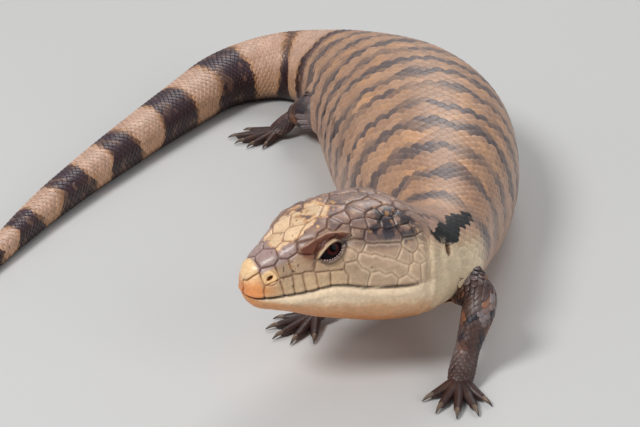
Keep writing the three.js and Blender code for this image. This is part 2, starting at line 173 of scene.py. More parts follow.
def random_at(a, b, c, seed):
    """A repeatable random number from 0 to 1 for each cell of three whole numbers."""
    cells = [np.asarray(value).astype(np.int64) for value in (a, b, c, seed)]
    h = sum(cell * factor for cell, factor in zip(cells, SCATTER))
    h = (h ^ (h >> 13)) * SCATTER[-1]
    h = h ^ (h >> 16)
    return (h & 0xFFFFFF) / 0xFFFFFF


def noise(points, size, seed):
    """Smooth noise from -1 to 1 with features of about that size."""
    p = points / size
    cell = np.floor(p)
    f = p - cell
    f = f * f * (3 - 2 * f)
    total = 0
    for corner in np.ndindex(2, 2, 2):
        share = np.where(corner, f, 1 - f)
        number = random_at(*np.moveaxis(cell + corner, -1, 0), seed)
        total = total + number * share[..., 0] * share[..., 1] * share[..., 2]
    return 2 * total - 1


# The body's surface
def row_at(table, s):
    """The row of a table at s, eased between its neighbours."""
    s = np.asarray(s, float)
    x, v = table[:, 0], table[:, 1:]
    last = len(x) - 1
    i = np.clip(np.searchsorted(x, s, side="left") - 1, 0, last - 1)
    before, after = np.maximum(i - 1, 0), np.minimum(i + 2, last)
    span = x[i + 1] - x[i]
    t = np.clip((s - x[i]) / span, 0, 1)[..., None]
    slope_a = (v[i + 1] - v[before]) / (x[i + 1] - x[before])[..., None] * span[..., None]
    slope_b = (v[after] - v[i]) / (x[after] - x[i])[..., None] * span[..., None]
    t2, t3 = t * t, t * t * t
    start = v[i] * (2 * t3 - 3 * t2 + 1) + slope_a * (t3 - 2 * t2 + t)
    return start + v[i + 1] * (3 * t2 - 2 * t3) + slope_b * (t3 - t2)


def heading(s):
    return np.radians(np.interp(s, SPINE[:, 0], SPINE[:, 1]))


HEADINGS = heading(np.arange(TOTAL_LENGTH) + 0.5)
STEPS = np.stack([np.cos(HEADINGS), np.sin(HEADINGS)], 1)
SPINE_POINTS = ORIGIN + CENTRING + np.vstack([[0, 0], np.cumsum(STEPS, 0)])


def place(s, left, height):
    """A point by its distance from the snout, its way to the left and its height."""
    s, left, height = np.broadcast_arrays(np.asarray(s, float), left, height)
    h = heading(s)
    roll = math.radians(HEAD_ROLL) * fade(s, *NECK_TWIST)
    up = height - ROLL_AXIS_HEIGHT
    across = left * np.cos(roll) - up * np.sin(roll)
    z = ROLL_AXIS_HEIGHT + left * np.sin(roll) + up * np.cos(roll)
    x, y = (np.interp(s, np.arange(TOTAL_LENGTH + 1), column) for column in SPINE_POINTS.T)
    return np.stack([x + across * np.sin(h), y - across * np.cos(h), z], -1)


# The jaw muscle, the brow and the hollow before the eye: each one's height, then its
# middle and spread along the head and in radians round it
SWELLINGS = [[1.5, 46, 10, -0.25, 0.45], [1.8, 20, 9, 0.95, 0.4], [-0.9, 13, 6, 0.55, 0.28]]


def section(s, angle, grow=0.0):
    """A surface point's way to the left and height, before it is placed."""
    s, angle = np.broadcast_arrays(np.asarray(s, float), np.asarray(angle, float))
    half_width, low, widest, high = np.moveaxis(row_at(OUTLINE, s), -1, 0)
    above, below = np.moveaxis(row_at(SQUARENESS, s), -1, 0)
    c, n = np.cos(angle), np.sin(angle)
    up = np.radians(folded(angle))
    out = grow + sum(height * spot(s, up, *where) for height, *where in SWELLINGS)
    square = np.where(n > 0, above, below)
    rise = np.where(n > 0, high - widest, widest - low)
    left = (np.maximum(half_width, 0.3) + out) * np.sign(c) * np.abs(c) ** (2 / square)
    return left, widest + (rise + out) * np.sign(n) * np.abs(n) ** (2 / square)


def body_point(s, angle, grow=0.0):
    return place(s, *section(s, angle, grow))


# The head's own frame: along from the snout's tip, up, and to the left
HEAD_ORIGIN = place(0, 0, 0)
HEAD_ALONG = place(1, 0, 0) - HEAD_ORIGIN
HEAD_UP = place(0, 0, 1) - HEAD_ORIGIN
HEAD_LEFT = place(0, 1, 0) - HEAD_ORIGIN


def head_point(along, left, height):
    return HEAD_ORIGIN + along * HEAD_ALONG + height * HEAD_UP + left * HEAD_LEFT


def head_coordinates(points):
    d = points - HEAD_ORIGIN
    return d @ HEAD_ALONG, d @ HEAD_LEFT, d @ HEAD_UP


# The eye and the almond between its lids
EYE = {"along": 23.5, "left": 9.8, "height": 45.0, "radius": 5.0}
EYE_OPENING = {"front": -3.8, "rear": 5.2, "tilt": 20, "turned": 12, "up": 8}
# Each lid's greatest distance from the line between the corners, and the two powers
# that put it nearer the front or the rear
LIDS = {"upper": [2.15, 1.0, 0.6], "lower": [2.25, 0.5, 0.9]}
LID_RADIUS = 5.9
GAZE = (0.6, 0.9)


def eye_axes(side):
    """The eye's centre and the axes of its opening: along it, across it, outwards."""
    turn = rotation(1, -EYE_OPENING["turned"]) @ rotation(0, -EYE_OPENING["up"])
    turn = turn @ rotation(2, EYE_OPENING["tilt"])
    turn[2] *= side
    basis = np.stack([HEAD_ALONG, HEAD_UP, HEAD_LEFT], 1)
    centre = head_point(EYE["along"], side * EYE["left"], EYE["height"])
    return centre, (basis @ turn).T


def lid_margin(x, lid):
    """How far a lid's edge is from the line between the corners."""
    height, before, after = LIDS[lid]
    front, rear = EYE_OPENING["front"], EYE_OPENING["rear"]
    t = np.clip((x - front) / (rear - front), 0, 1)
    peak = before / (before + after)
    return height * t ** before * (1 - t) ** after / (peak ** before * (1 - peak) ** after)


def margin_slope(x, lid, step=0.1):
    return (lid_margin(x + step, lid) - lid_margin(x - step, lid)) / (2 * step)


def opening_depth(x, y):
    """How far inside the opening a point is, and less than 0 outside; also whether
    the upper lid is the nearer one."""
    gaps = []
    for lid, height in (("upper", y), ("lower", -y)):
        gap = lid_margin(x, lid) - height
        gaps.append(gap / np.sqrt(1 + margin_slope(x, lid) ** 2 * bell(gap, 0, 1.2)))
    outside = np.maximum(np.maximum(EYE_OPENING["front"] - x, x - EYE_OPENING["rear"]), 0)
    return np.minimum(*gaps) - outside, ease(gaps[1] - gaps[0], -0.4, 0.4)


# The mouth line's height along the head
MOUTH_CORNER = 47
MOUTH_LINE = np.array([
    [-4, 0.4], [2, -0.2], [8, 0.2], [15, 1.0], [23, 2.2], [33, 0.2], [40, -0.7],
    [MOUTH_CORNER, -1.1], [56, -1.2],
])


def mouth_height(along):
    return MOUTH_HEIGHT + row_at(MOUTH_LINE, np.clip(along, -4, 56))[..., 0]


# The head's plates. Each has one or more seeds of distance and degrees, and is the
# part of the skin nearest to them. MIDDLE lies on the line down the head's top.
MIDDLE = 90
HEAD_PLATES = [
    [[6.1, 69]], [[10.8, MIDDLE]], [[11.4, 61]], [[15.4, 79]], [[20, MIDDLE], [23.5, MIDDLE]],
    [[17.8, 62], [21.7, 65]], [[25.4, 58]], [[28.8, 65]], [[28.5, 80]],
    [[34, MIDDLE], [38, MIDDLE]], [[33.4, 66]], [[37.5, 74], [41.4, 76]], [[38.8, 60]],
    [[42.9, 64]], [[45.6, 79]], [[32.9, 51]], [[36.9, 50]], [[41.1, 49]], [[46.3, 52]],
    [[30.6, 31]], [[31.5, 41]], [[34.2, 36.5], [37.8, 35.5], [41.4, 34.5]],
    [[33.2, 25.5], [36.7, 23.5], [40.3, 21.5]], [[31.8, 18], [34.8, 14.5], [38, 10.5], [41.6, 7]],
    [[43.8, 16]], [[46.2, 25]], [[46.5, 40]], [[48.6, 15]], [[46.2, 6]], [[5.5, 29]], [[6.6, 9]],
    [[9.8, 10.5]], [[12.8, 10]], [[15.8, 10]], [[19.2, 9.5]], [[23.4, 8.5]],
    [[29.1, 6.5], [27.8, 13.5]], [[35.2, 3], [38.2, 2]], [[43.2, 0.5]],
    [[1.2, 64], [1.2, MIDDLE]], [[1.4, 26], [0.8, 8]], [[9.8, 33]], [[13.2, 32], [16.4, 29]],
    [[19.4, 21], [23, 18.5]], [[27.4, 22]], [[20, 34], [23, 36], [26, 38]],
    [[17, 45], [22, 47], [27, 47]],
]
# Rows of plates below the mouth and behind the crown: degrees, first distance,
# spacing there, how fast it widens, and last distance
PLATE_ROWS = [
    [-9, 2.6, 3.6, 0.05, 50], [-25, 4.4, 3.0, 0.04, 50], [-41, 3.4, 3.2, 0.04, 50],
    [-58, 5.2, 3.4, 0.04, 50], [-76, 3.4, 3.8, 0.03, 50], [-6, 52, 3.8, 0, 64],
    [7, 50, 3.8, 0, 64], [20, 50.5, 3.8, 0, 64], [32, 51.5, 3.8, 0, 64], [44, 50.4, 4.0, 0, 64],
    [56, 51.4, 4.0, 0, 64], [70, 50.2, 4.2, 0, 64], [84, 51.8, 4.2, 0, 64], [-22, 53, 3.8, 0, 64],
    [-40, 52, 3.8, 0, 64],
]


def plate_seeds():
    """Every seed's point, its plate's number and whether it is below the mouth."""
    groups = list(HEAD_PLATES)
    for degrees, first, spacing, widening, last in PLATE_ROWS:
        s = first
        while s < last:
            groups.append([[s, degrees]])
            s += spacing + widening * (s - first)
    points, owners, low = [], [], []
    plate = 0
    for seeds in groups:
        middle = any(degrees == MIDDLE for _, degrees in seeds)
        for side in (1, -1):
            for s, degrees in seeds:
                points.append(body_point(s, facing(degrees, side)))
                owners.append(plate)
                low.append(degrees < 0 and s < MOUTH_CORNER)
            if side < 0 or not middle:
                plate += 1
    return np.array(points), np.array(owners), np.array(low)


SEED_POINTS, SEED_OWNERS, SEED_LOW = plate_seeds()


def plates_at(points):
    """The plate at each point and the distance to its nearest border. No plate crosses
    the mouth."""
    flat = points.reshape(-1, 3)
    along, _, height = head_coordinates(flat)
    low = height < mouth_height(along)
    apart_here = 900 * fade(along, MOUTH_CORNER - 5, MOUTH_CORNER)
    plate, border = np.empty(len(flat), int), np.empty(len(flat))
    for start in range(0, len(flat), CHUNK):
        part = slice(start, start + CHUNK)
        squared = ((flat[part, None] - SEED_POINTS) ** 2).sum(-1)
        squared += (low[part, None] != SEED_LOW) * apart_here[part, None]
        nearest = squared.argmin(1)
        own = SEED_OWNERS[nearest]
        apart = lengths_of(SEED_POINTS[nearest][:, None] - SEED_POINTS)
        edge = (squared - squared.min(1)[:, None]) / (2 * np.maximum(apart, 0.1))
        edge[SEED_OWNERS == own[:, None]] = np.inf
        plate[part] = own
        border[part] = edge.min(1)
    return plate.reshape(points.shape[:-1]), border.reshape(points.shape[:-1])


# Colours, read one by one
PAINT = {
    "crown": srgb(150, 120, 106), "cream": srgb(226, 194, 156), "worn": srgb(222, 164, 108),
    "snout": srgb(166, 140, 132), "rostral_low": srgb(220, 140, 82), "rostral_high": srgb(236, 198, 150),
    "nasal": srgb(236, 196, 144), "nasal_rim": srgb(220, 146, 84), "loreal": srgb(178, 148, 118),
    "lip": srgb(194, 164, 128), "lip_rear": srgb(188, 158, 130), "temple": srgb(184, 152, 126),
    "dark_temple": srgb(98, 70, 66), "ink": srgb(30, 30, 40), "brow": srgb(108, 48, 24),
    "brow_crease_shade": srgb(64, 20, 8), "lower_lip": srgb(242, 216, 182), "jaw": srgb(218, 168, 124),
    "throat": srgb(208, 132, 70), "lid": srgb(212, 184, 146), "groove": srgb(56, 30, 24),
    "mouth": srgb(44, 18, 14), "trunk": srgb(158, 120, 96), "trunk_light": srgb(186, 146, 116),
    "band": srgb(76, 70, 74), "flank": srgb(176, 142, 122), "belly": srgb(206, 140, 84),
    "saddle": srgb(196, 160, 138), "tail_dark": srgb(58, 38, 46), "shaded_tail_underside": srgb(40, 14, 14),
    "blotch": srgb(10, 8, 8), "neck": srgb(194, 164, 130), "fold": srgb(222, 202, 168),
    "limb": srgb(72, 50, 44), "limb_pale": srgb(150, 138, 138), "limb_orange": srgb(150, 98, 66),
    "foot": srgb(62, 40, 35), "iris": srgb(46, 11, 13), "iris_light": srgb(84, 28, 20),
    "iris_rim": srgb(10, 6, 9), "pupil": srgb(2, 2, 3), "bead": srgb(158, 132, 126),
    "claw": srgb(112, 92, 76), "claw_tip": srgb(36, 28, 26),
}


def head_colours(s, angle, points, plate):
    up = folded(angle)
    fine, coarse = noise(points, 0.8, 12), noise(points, 2.2, 31)
    worn = (bell(s, 15, 7.5) * ease(up, 58, 76) + 0.34 * coarse + 0.24 * fine) * ease(s, 7, 11)
    behind_worn = bell(s, 26, 4.5) * ease(up, 70, 84) + 0.35 * coarse + 0.2 * fine
    worn = np.maximum(worn, 0.85 * behind_worn)
    smudges = ease(noise(points, 2.6, 16) + 0.5 * fine, -0.15, 0.5) * ease(up, 44, 58)
    flecks = ease(noise(points, 1.5, 18) + 0.3 * fine, 0.25, 0.6) * ease(up, 44, 58)
    shade = painted(PAINT["lip"], [
        ("lip_rear", ease(s, 20, 32)),
        ("loreal", ease(up, 13, 18) * fade(s, 20, 28)),
        ("temple", ease(up, 10, 20) * ease(s, 24, 30)),
        ("crown", ease(up, 40, 52)),
        ("snout", ease(up, 38, 46) * fade(s, 12, 15)),
        ("nasal", ease(spot(s, up, 5.6, 3.0, 28, 15), 0.3, 0.7)),
        ("band", 0.5 * smudges * ease(s, 14, 22)),
        ("trunk_light", 0.6 * flecks * ease(s, 16, 24)),
        ("worn", 0.8 * ease(worn, 0.32, 0.5)),
        ("cream", 0.95 * ease(worn, 0.42, 0.66)),
    ])
    rostral = blend(PAINT["rostral_low"], PAINT["rostral_high"], ease(up, 6, 50))
    shade = blend(shade, rostral, fade(s + 0.2 * coarse, 2.8, 3.6))
    dark = ease(spot(s, up, 44, 10, 47, 22) + 0.25 * coarse, 0.25, 0.6)
    specks = ease(noise(points, 1.7, 11) + 0.6 * fine, -0.55, 0.0)
    pits = ease(noise(points, 0.7, 15), 0.66, 0.8) * ease(coarse, -0.1, 0.3)
    shade = painted(shade, [
        ("nasal_rim", 0.75 * spot(s, up, 4.0, 3.2, 8, 9)),
        ("dark_temple", 0.9 * ease(spot(s, up, 39, 10, 36, 14), 0.25, 0.7)),
        ("ink", 0.88 * specks * dark),
        ("worn", 0.4 * ease(noise(points, 1.3, 14), 0.45, 0.7) * dark),
        ("groove", 0.75 * pits * ease(up, 2, 8) * ease(s, 6, 9)),
    ])
    jaw = painted(PAINT["lower_lip"], [
        ("jaw", ease(-up + 2.5 * coarse, 8, 24)),
        ("throat", ease(-up + 3 * coarse, 22, 50)),
        ("nasal_rim", 0.55 * fade(s, 4, 20) * ease(-up, 5, 22)),
    ])
    along, _, height = head_coordinates(points)
    shade = blend(shade, jaw, ease(mouth_height(along) - height, -0.2, 0.3))
    shade = blend(shade, neck_colours(s, angle, points), ease(s + 2.5 * coarse, 46, 58))
    shade = black_patch(shade, s, angle, points)
    spread = 0.16 * ease(up, -4, 4) + 0.03
    tone = 1 + spread * (random_at(plate, plate * 3 + 1, 7, 5) - 0.5)
    return shade * (tone + 0.08 * noise(points, 3.0, 21) + 0.05 * fine)[..., None]


# The black patch behind the head: middle and spread along and round of each lobe
LOBES = [[58.3, 3.8, 38, 14], [64.2, 3.6, 53, 9], [69.4, 4.2, 52, 9]]


def black_patch(shade, s, angle, points):
    lobes = sum(spot(s, folded(angle), *lobe) for lobe in LOBES)
    return painted(shade, [("blotch", ease(lobes + 0.05 * noise(points, 1.5, 41), 0.36, 0.46))])


def neck_colours(s, angle, points):
    up = folded(angle)
    specks = ease(noise(points, 2.4, 42) + 0.5 * noise(points, 1.2, 43), 0.1, 0.6)
    return painted(PAINT["neck"], [
        ("flank", ease(up, 20, 45)),
        ("trunk", 0.7 * ease(up, 35, 70)),
        ("fold", 0.8 * fade(up, 14, 30) * ease(up, -55, -30)),
        ("jaw", ease(-up, 30, 50)),
        ("throat", ease(-up, 48, 66)),
        ("crown", 0.7 * ease(up, 36, 50) * fade(s, 56, 64)),
        ("ink", 0.8 * specks * ease(up, 30, 46) * fade(s, 56, 66)),
    ])


BAND_SPACING = 15.5


def trunk_colours(s, angle, points):
    up = folded(angle)
    wander = 3.4 * noise(points, 12, 51) + 1.8 * noise(points, 5, 52)
    phase = (s + wander + 0.05 * np.abs(up - 90)) / BAND_SPACING
    band = ease(np.cos(TAU * phase) + 0.35 * noise(points, 3.4, 57), -0.15, 0.8)
    band = band * (0.55 + 0.45 * ease(noise(points, 8, 54), -0.6, 0.1))
    warm = ease(noise(points, 6, 58) + 0.5 * noise(points, 2.4, 59), 0.0, 0.8)
    flecks = ease(noise(points, 3, 55) + 0.7 * noise(points, 1.5, 56), 0.4, 0.9)
    return painted(PAINT["trunk"], [
        ("trunk_light", 0.45 + 0.45 * noise(points, 9, 53)),
        ("worn", 0.3 * warm * ease(up, 20, 50)),
        ("flank", 0.85 * fade(up, 8, 34)),
        ("band", 0.86 * band * ease(up, -22, 12)),
        ("ink", 0.6 * flecks * bell(up, 10, 24)),
        ("belly", ease(-up, 22, 42)),
    ])


# The pale saddles of the tail: the middle and half length of each
SADDLES = [
    [276, 10], [304, 12.5], [348, 12.5], [389, 11], [422, 9.5], [458, 9], [486, 7.5], [509, 5.5],
]


def tail_colours(s, angle, points):
    up = folded(angle)
    wavy = s + 2.4 * noise(points, 8, 61) + 0.9 * noise(points, 2.5, 62)
    # The lower side is painted near-black and the saddles narrow there: painted shade over the tail's own
    # dark banding.
    shaded_underside = ease(-up + 9 * noise(points, 5, 64), -50, 20)
    pale = sum(bell(wavy, middle, half * (0.92 - 0.32 * shaded_underside)) for middle, half in SADDLES)
    mottle = ease(noise(points, 3.0, 65) + 0.5 * noise(points, 1.4, 66), 0.1, 0.7)
    return painted(PAINT["tail_dark"], [
        ("shaded_tail_underside", shaded_underside),
        ("worn", 0.6 * ease(pale, 0.25, 0.5)),
        ("saddle", ease(pale, 0.34, 0.62) * (1 - 0.6 * shaded_underside)),
        ("trunk", 0.3 * mottle),
        ("shaded_tail_underside", 0.9 * ease(-up, 20, 50)),
    ])


def body_colours(s, angle, points):
    """The markings from the neck back, with painted shade on the tail's lower side, the same on the skin and
    on its scales.
    """
    shade = neck_colours(s, angle, points)
    for colours, size, seed, wander, start, end in (
            (trunk_colours, 4, 71, 2, 64, 76), (tail_colours, 6, 72, 3, 254, 268)):
        share = ease(s + wander * noise(points, size, seed), start, end)
        shade = blend(shade, colours(s, angle, points), share)
    shade = black_patch(shade, s, angle, points)
    return shade * (1 + 0.08 * noise(points, 2.5, 73))[..., None]


def limb_colours(along, points):
    """along runs from 0 at the root to 1 at the toes."""
    return painted(PAINT["limb"], [
        ("limb_pale", ease(noise(points, 5, 81), -0.2, 0.4) * (1 - 0.8 * along)),
        ("limb_orange", ease(noise(points, 4, 82), 0.1, 0.6) * (1 - 0.7 * along)),
        ("ink", 0.85 * ease(noise(points, 3.4, 83), 0.2, 0.55)),
        ("foot", 0.75 * ease(along, 0.55, 0.9)),
    ])


# Making meshes from arrays
def add_object(name, data):
    made = bpy.data.objects.new(name, data)
    bpy.context.scene.collection.objects.link(made)
    return made


def put(items, key, values, kind=np.float32):
    """Gives each item of a mesh its own value."""
    items.foreach_set(key, np.asarray(values, kind).ravel())


def build(name, points, faces, material, colours=None, numbers=None, uv=None):
    """An object from points in millimetres and faces that all have as many corners."""
    mesh = bpy.data.meshes.new(name)
    count, corners = faces.shape
    mesh.vertices.add(len(points))
    put(mesh.vertices, "co", points * MM)
    mesh.loops.add(count * corners)
    put(mesh.loops, "vertex_index", faces, np.int32)
    mesh.polygons.add(count)
    put(mesh.polygons, "loop_start", np.arange(0, count * corners, corners), np.int32)
    put(mesh.polygons, "use_smooth", np.ones(count), bool)
    if uv is not None:
        put(mesh.uv_layers.new(name="OFBake").data, "uv", uv)
    if colours is not None:
        rgba = np.hstack([np.clip(colours, 0, 1), np.ones((len(points), 1))])
        put(mesh.color_attributes.new("markings", "FLOAT_COLOR", "POINT").data, "color", rgba)
    for key, values in (numbers or {}).items():
        put(mesh.attributes.new(key, "FLOAT", "POINT").data, "value", values)
    mesh.update(calc_edges=True)
    mesh.validate()
    mesh.materials.append(material)
    return add_object(name, mesh)


def joined(parts):
    """Parts of points, faces and other values, put one after the other as one."""
    points, faces, *others = zip(*parts)
    starts = np.cumsum([0] + [len(p) for p in points[:-1]])
    faces = [f + start for f, start in zip(faces, starts)]
    return [np.concatenate(column) for column in (points, faces, *others)]


# The two triangles between neighbouring points of two rings, as steps along and round
TRIANGLES = np.array([[[0, 0], [1, 1], [0, 1]], [[0, 0], [1, 0], [1, 1]]])


def ring_faces(rings, around):
    """Triangles of a tube of rings, and each corner's place on an unwrap of it."""
    here = np.stack(np.meshgrid(np.arange(rings - 1), np.arange(around), indexing="ij"), -1)
    corner = (here[:, :, None, None] + TRIANGLES).reshape(-1, 3, 2)
    return corner[..., 0] * around + corner[..., 1] % around, corner


def cap_faces(ring_start, around, centre, turned):
    j = np.arange(around)
    a, b = ring_start + j, ring_start + (j + 1) % around
    middle = np.full(around, centre)
    return np.stack([middle, a, b] if turned else [middle, b, a], -1)


def normals_of(grid):
    """Outward normals of a grid of points that closes round its second direction."""
    across = np.roll(grid, -1, axis=1) - np.roll(grid, 1, axis=1)
    return unit(np.cross(np.gradient(grid, axis=0), across))


# The skin lies this far inside the solids, and scales fill the depth
COAT = 0.5
HEAD_SKIN_END = 62.0
HEAD_RINGS, HEAD_AROUND = 300, 560
BODY_STEP, BODY_AROUND = 1.4, 140
# The unwrap: the head takes the first half of its width, the body the second half,
# and the limbs and the toes the strips above
UV_HEAD, UV_BODY_HEIGHT = 0.5, 0.8
UV_LIMB = {"length": 0.25, "start": 0.81, "height": 0.13, "toes": 0.95, "toe": 0.05, "toe_ends": 0.96}


def unwrap(s, turn):
    """The place on the unwrap of a distance and of a share of the way round."""
    head = UV_HEAD * s / HEAD_SKIN_END
    body = UV_HEAD + (1 - UV_HEAD) * (s - HEAD_SKIN_END) / (TOTAL_LENGTH - HEAD_SKIN_END)
    return np.stack([np.where(s < HEAD_SKIN_END, head, body), UV_BODY_HEIGHT * turn], -1)


def unwrap_limb(index, share, turn):
    across = UV_LIMB["start"] + UV_LIMB["height"] * turn
    return np.stack([(index + share) * UV_LIMB["length"], across], -1)


def near_limbs(s):
    return (s < 135) | ((s > 200) & (s < 310))


def limb_gap(points):
    """How far points lie outside the nearest limb, roughly."""
    gap = np.full(len(points), np.inf)
    for limb in LIMB_LINES.values():
        line, radii = limb["line"][::3], limb["radii"][::3]
        for start in range(0, len(points), CHUNK):
            part = slice(start, start + CHUNK)
            nearest = (lengths_of(points[part, None] - line) - radii).min(1)
            gap[part] = np.minimum(gap[part], nearest)
    return gap


FILLET = 5.0


def drawn_out(points, gap):
    """How far a surface is drawn out where it meets another, by the gap between them,
    and less towards the floor."""
    return np.maximum(FILLET - np.abs(gap), 0) ** 2 / (4 * FILLET) * ease(points[..., 2], 0.5, 4)


# How strongly the seams' colour shows on the skin between scales, as painted shade under them
SKIN_SHADE_UNDER_SCALES = 0.35

# Limbs
TOE_RADIUS = 1.5
TOE_FOLD_SPACING = 1.5
CLAW_LENGTH = 3.2
BALL_OF_FOOT = {"ahead": 4.5, "height": 2.2}
# Each toe's way from the foot's in degrees, and how far it reaches
FORE_TOES = [[-48, 7.5], [-22, 10], [0, 11], [22, 10], [46, 7]]
HIND_TOES = [[-40, 7], [-18, 10], [2, 12], [22, 13.5], [50, 9]]
# Each limb's joints as points of the floor plan with a height, its radii at the root,
# bend, wrist and foot, the foot's way in degrees, its toes and its side
LIMBS = {
    "foreleg_left": [
        [[37, 14, 24], [45.5, 0.5, 23], [40.5, -7.5, 9], [38, -15, 2.8]],
        [7, 5.3, 4.2, 5], -97, FORE_TOES, 1,
    ],
    "foreleg_right": [
        [[24, 36, 22], [6, 44, 22], [-2, 31, 9], [-6, 25, 2.8]],
        [7, 5.6, 4.2, 5], -140, FORE_TOES, -1,
    ],
    "hindleg_right": [
        [[8, 196, 16], [-7, 170, 15], [-15, 183, 8], [-22, 178, 3]],
        [9.5, 7.4, 4.8, 5.6], 205, HIND_TOES, -1,
    ],
    "hindleg_left": [
        [[22, 204, 16], [40, 194, 15], [42, 208, 8], [49, 204, 3]],
        [9.5, 7.4, 4.8, 5.6], -15, HIND_TOES, 1,
    ],
}


def softened(values, spread):
    """Values along a line, with their corners rounded off over that many steps."""
    reach = np.arange(-3 * spread, 3 * spread + 1)
    weight = np.exp(-0.5 * (reach / spread) ** 2)
    weight /= weight.sum()
    before = 2 * values[:1] - values[1:3 * spread + 1][::-1]
    after = 2 * values[-1:] - values[-3 * spread - 1:-1][::-1]
    padded = np.concatenate([before, values, after])
    return np.apply_along_axis(lambda v: np.convolve(v, weight, "valid"), 0, padded)


def polyline(points, values, step):
    """Evenly spaced points on straight pieces between points, and values with them."""
    points = np.asarray(points, float)
    corners = distances(points)
    at = np.arange(0, corners[-1], step)
    line = np.stack([np.interp(at, corners, column) for column in points.T], 1)
    return line, np.interp(at, corners, values)


LIMB_STEP = 0.5


def limb_lines():
    lines = {}
    for name, (joints, radii, way, toes, side) in LIMBS.items():
        joints = np.array(joints, float)
        joints[:, :2] += CENTRING
        ball = joints[-1] + BALL_OF_FOOT["ahead"] * level(way)
        ball[2] = BALL_OF_FOOT["height"]
        path = np.vstack([joints, ball])
        upper, lower, *foot_lengths = lengths_of(np.diff(path, axis=0))
        line, _ = polyline(path, np.zeros(len(path)), LIMB_STEP)
        steps = np.arange(len(line))
        root, bend, wrist, foot = radii
        stations = np.cumsum([0, upper / 2, upper / 2, 0.3 * lower, 0.6 * lower, 0.1 * lower, *foot_lengths])
        profile = [root, 0.5 * (root + bend) + 0.4, bend, bend + 0.25, wrist - 0.3, wrist - 0.1]
        profile += [0.94 * foot, 0.6 * foot]
        radius = np.interp(steps * LIMB_STEP, stations, profile)
        wrist_step = (upper + lower) / LIMB_STEP
        lines[name] = {
            "line": softened(line, 5),
            "radii": softened(radius[:, None], 6)[:, 0],
            "flatness": 1 - 0.38 * ease(steps, wrist_step - 6, wrist_step + 4),
            "middle": joints[-1],
            "way": way,
            "toes": toes,
            "side": side,
        }
    return lines


LIMB_LINES = limb_lines()


class Tube:
    """A bent, tapered tube whose surface is given by a distance along and an angle."""

    def __init__(self, line, radii, flatness=None):
        self.line, self.radii = line, radii
        self.flatness = np.ones(len(line)) if flatness is None else flatness
        self.at = distances(line)
        self.length = self.at[-1]
        along = unit(np.gradient(line, axis=0))
        self.side = unit(np.cross(along, [0, 0, 1]))
        self.over = np.cross(self.side, along)

    def value(self, values, s):
        if values.ndim == 1:
            return np.interp(s, self.at, values)
        return np.stack([np.interp(s, self.at, column) for column in values.T], -1)

    def radius(self, s):
        """The radius, drawn in to a round end."""
        r = self.value(self.radii, s)
        end = np.maximum(self.length - s, 0)
        return r * np.sqrt(np.clip(1 - (1 - np.minimum(end / r, 1)) ** 2, 0.0004, 1))

    def point(self, s, angle, grow=0.0):
        s, angle = np.broadcast_arrays(np.asarray(s, float), angle)
        r = self.radius(s) + grow
        flat = self.value(self.flatness, s)
        side = self.value(self.side, s) * (r * np.cos(angle))[..., None]
        over = self.value(self.over, s) * (r * flat * np.sin(angle))[..., None]
        return self.value(self.line, s) + side + over


def above_floor(points):
    """The points, with those that are too low lifted to just above the floor."""
    return np.maximum(points, [-np.inf, -np.inf, FLOOR_CLEARANCE])


# The head's skin with its plates, lips, lids, nostrils and ears
NOSTRIL = {"along": 5.3, "degrees": 28, "half_length": 1.0, "half_width": 0.5, "tilt": 35, "depth": 2.0}
EAR = {"along": 58, "degrees": 22, "half_length": 1.3, "half_height": 2.2, "depth": 2.6, "bare": 2.6}
NECK_FOLD_SPACING = 4.4


def neck_folds(s, up):
    """The height of the upright folds of loose skin on the sides of the neck."""
    share = ease(s, 48, 51) * fade(s, 54, 58) * fade(up, 24, 40) * ease(up, -70, -40)
    return 0.42 * share * np.cos(TAU * (s - 0.06 * up) / NECK_FOLD_SPACING)


def plate_relief(border):
    groove = -0.42 * bell(border, 0, 0.26) - 0.16 * np.exp(-border / 0.6)
    return groove + 0.2 * (1 - np.exp(-border / 1.1))


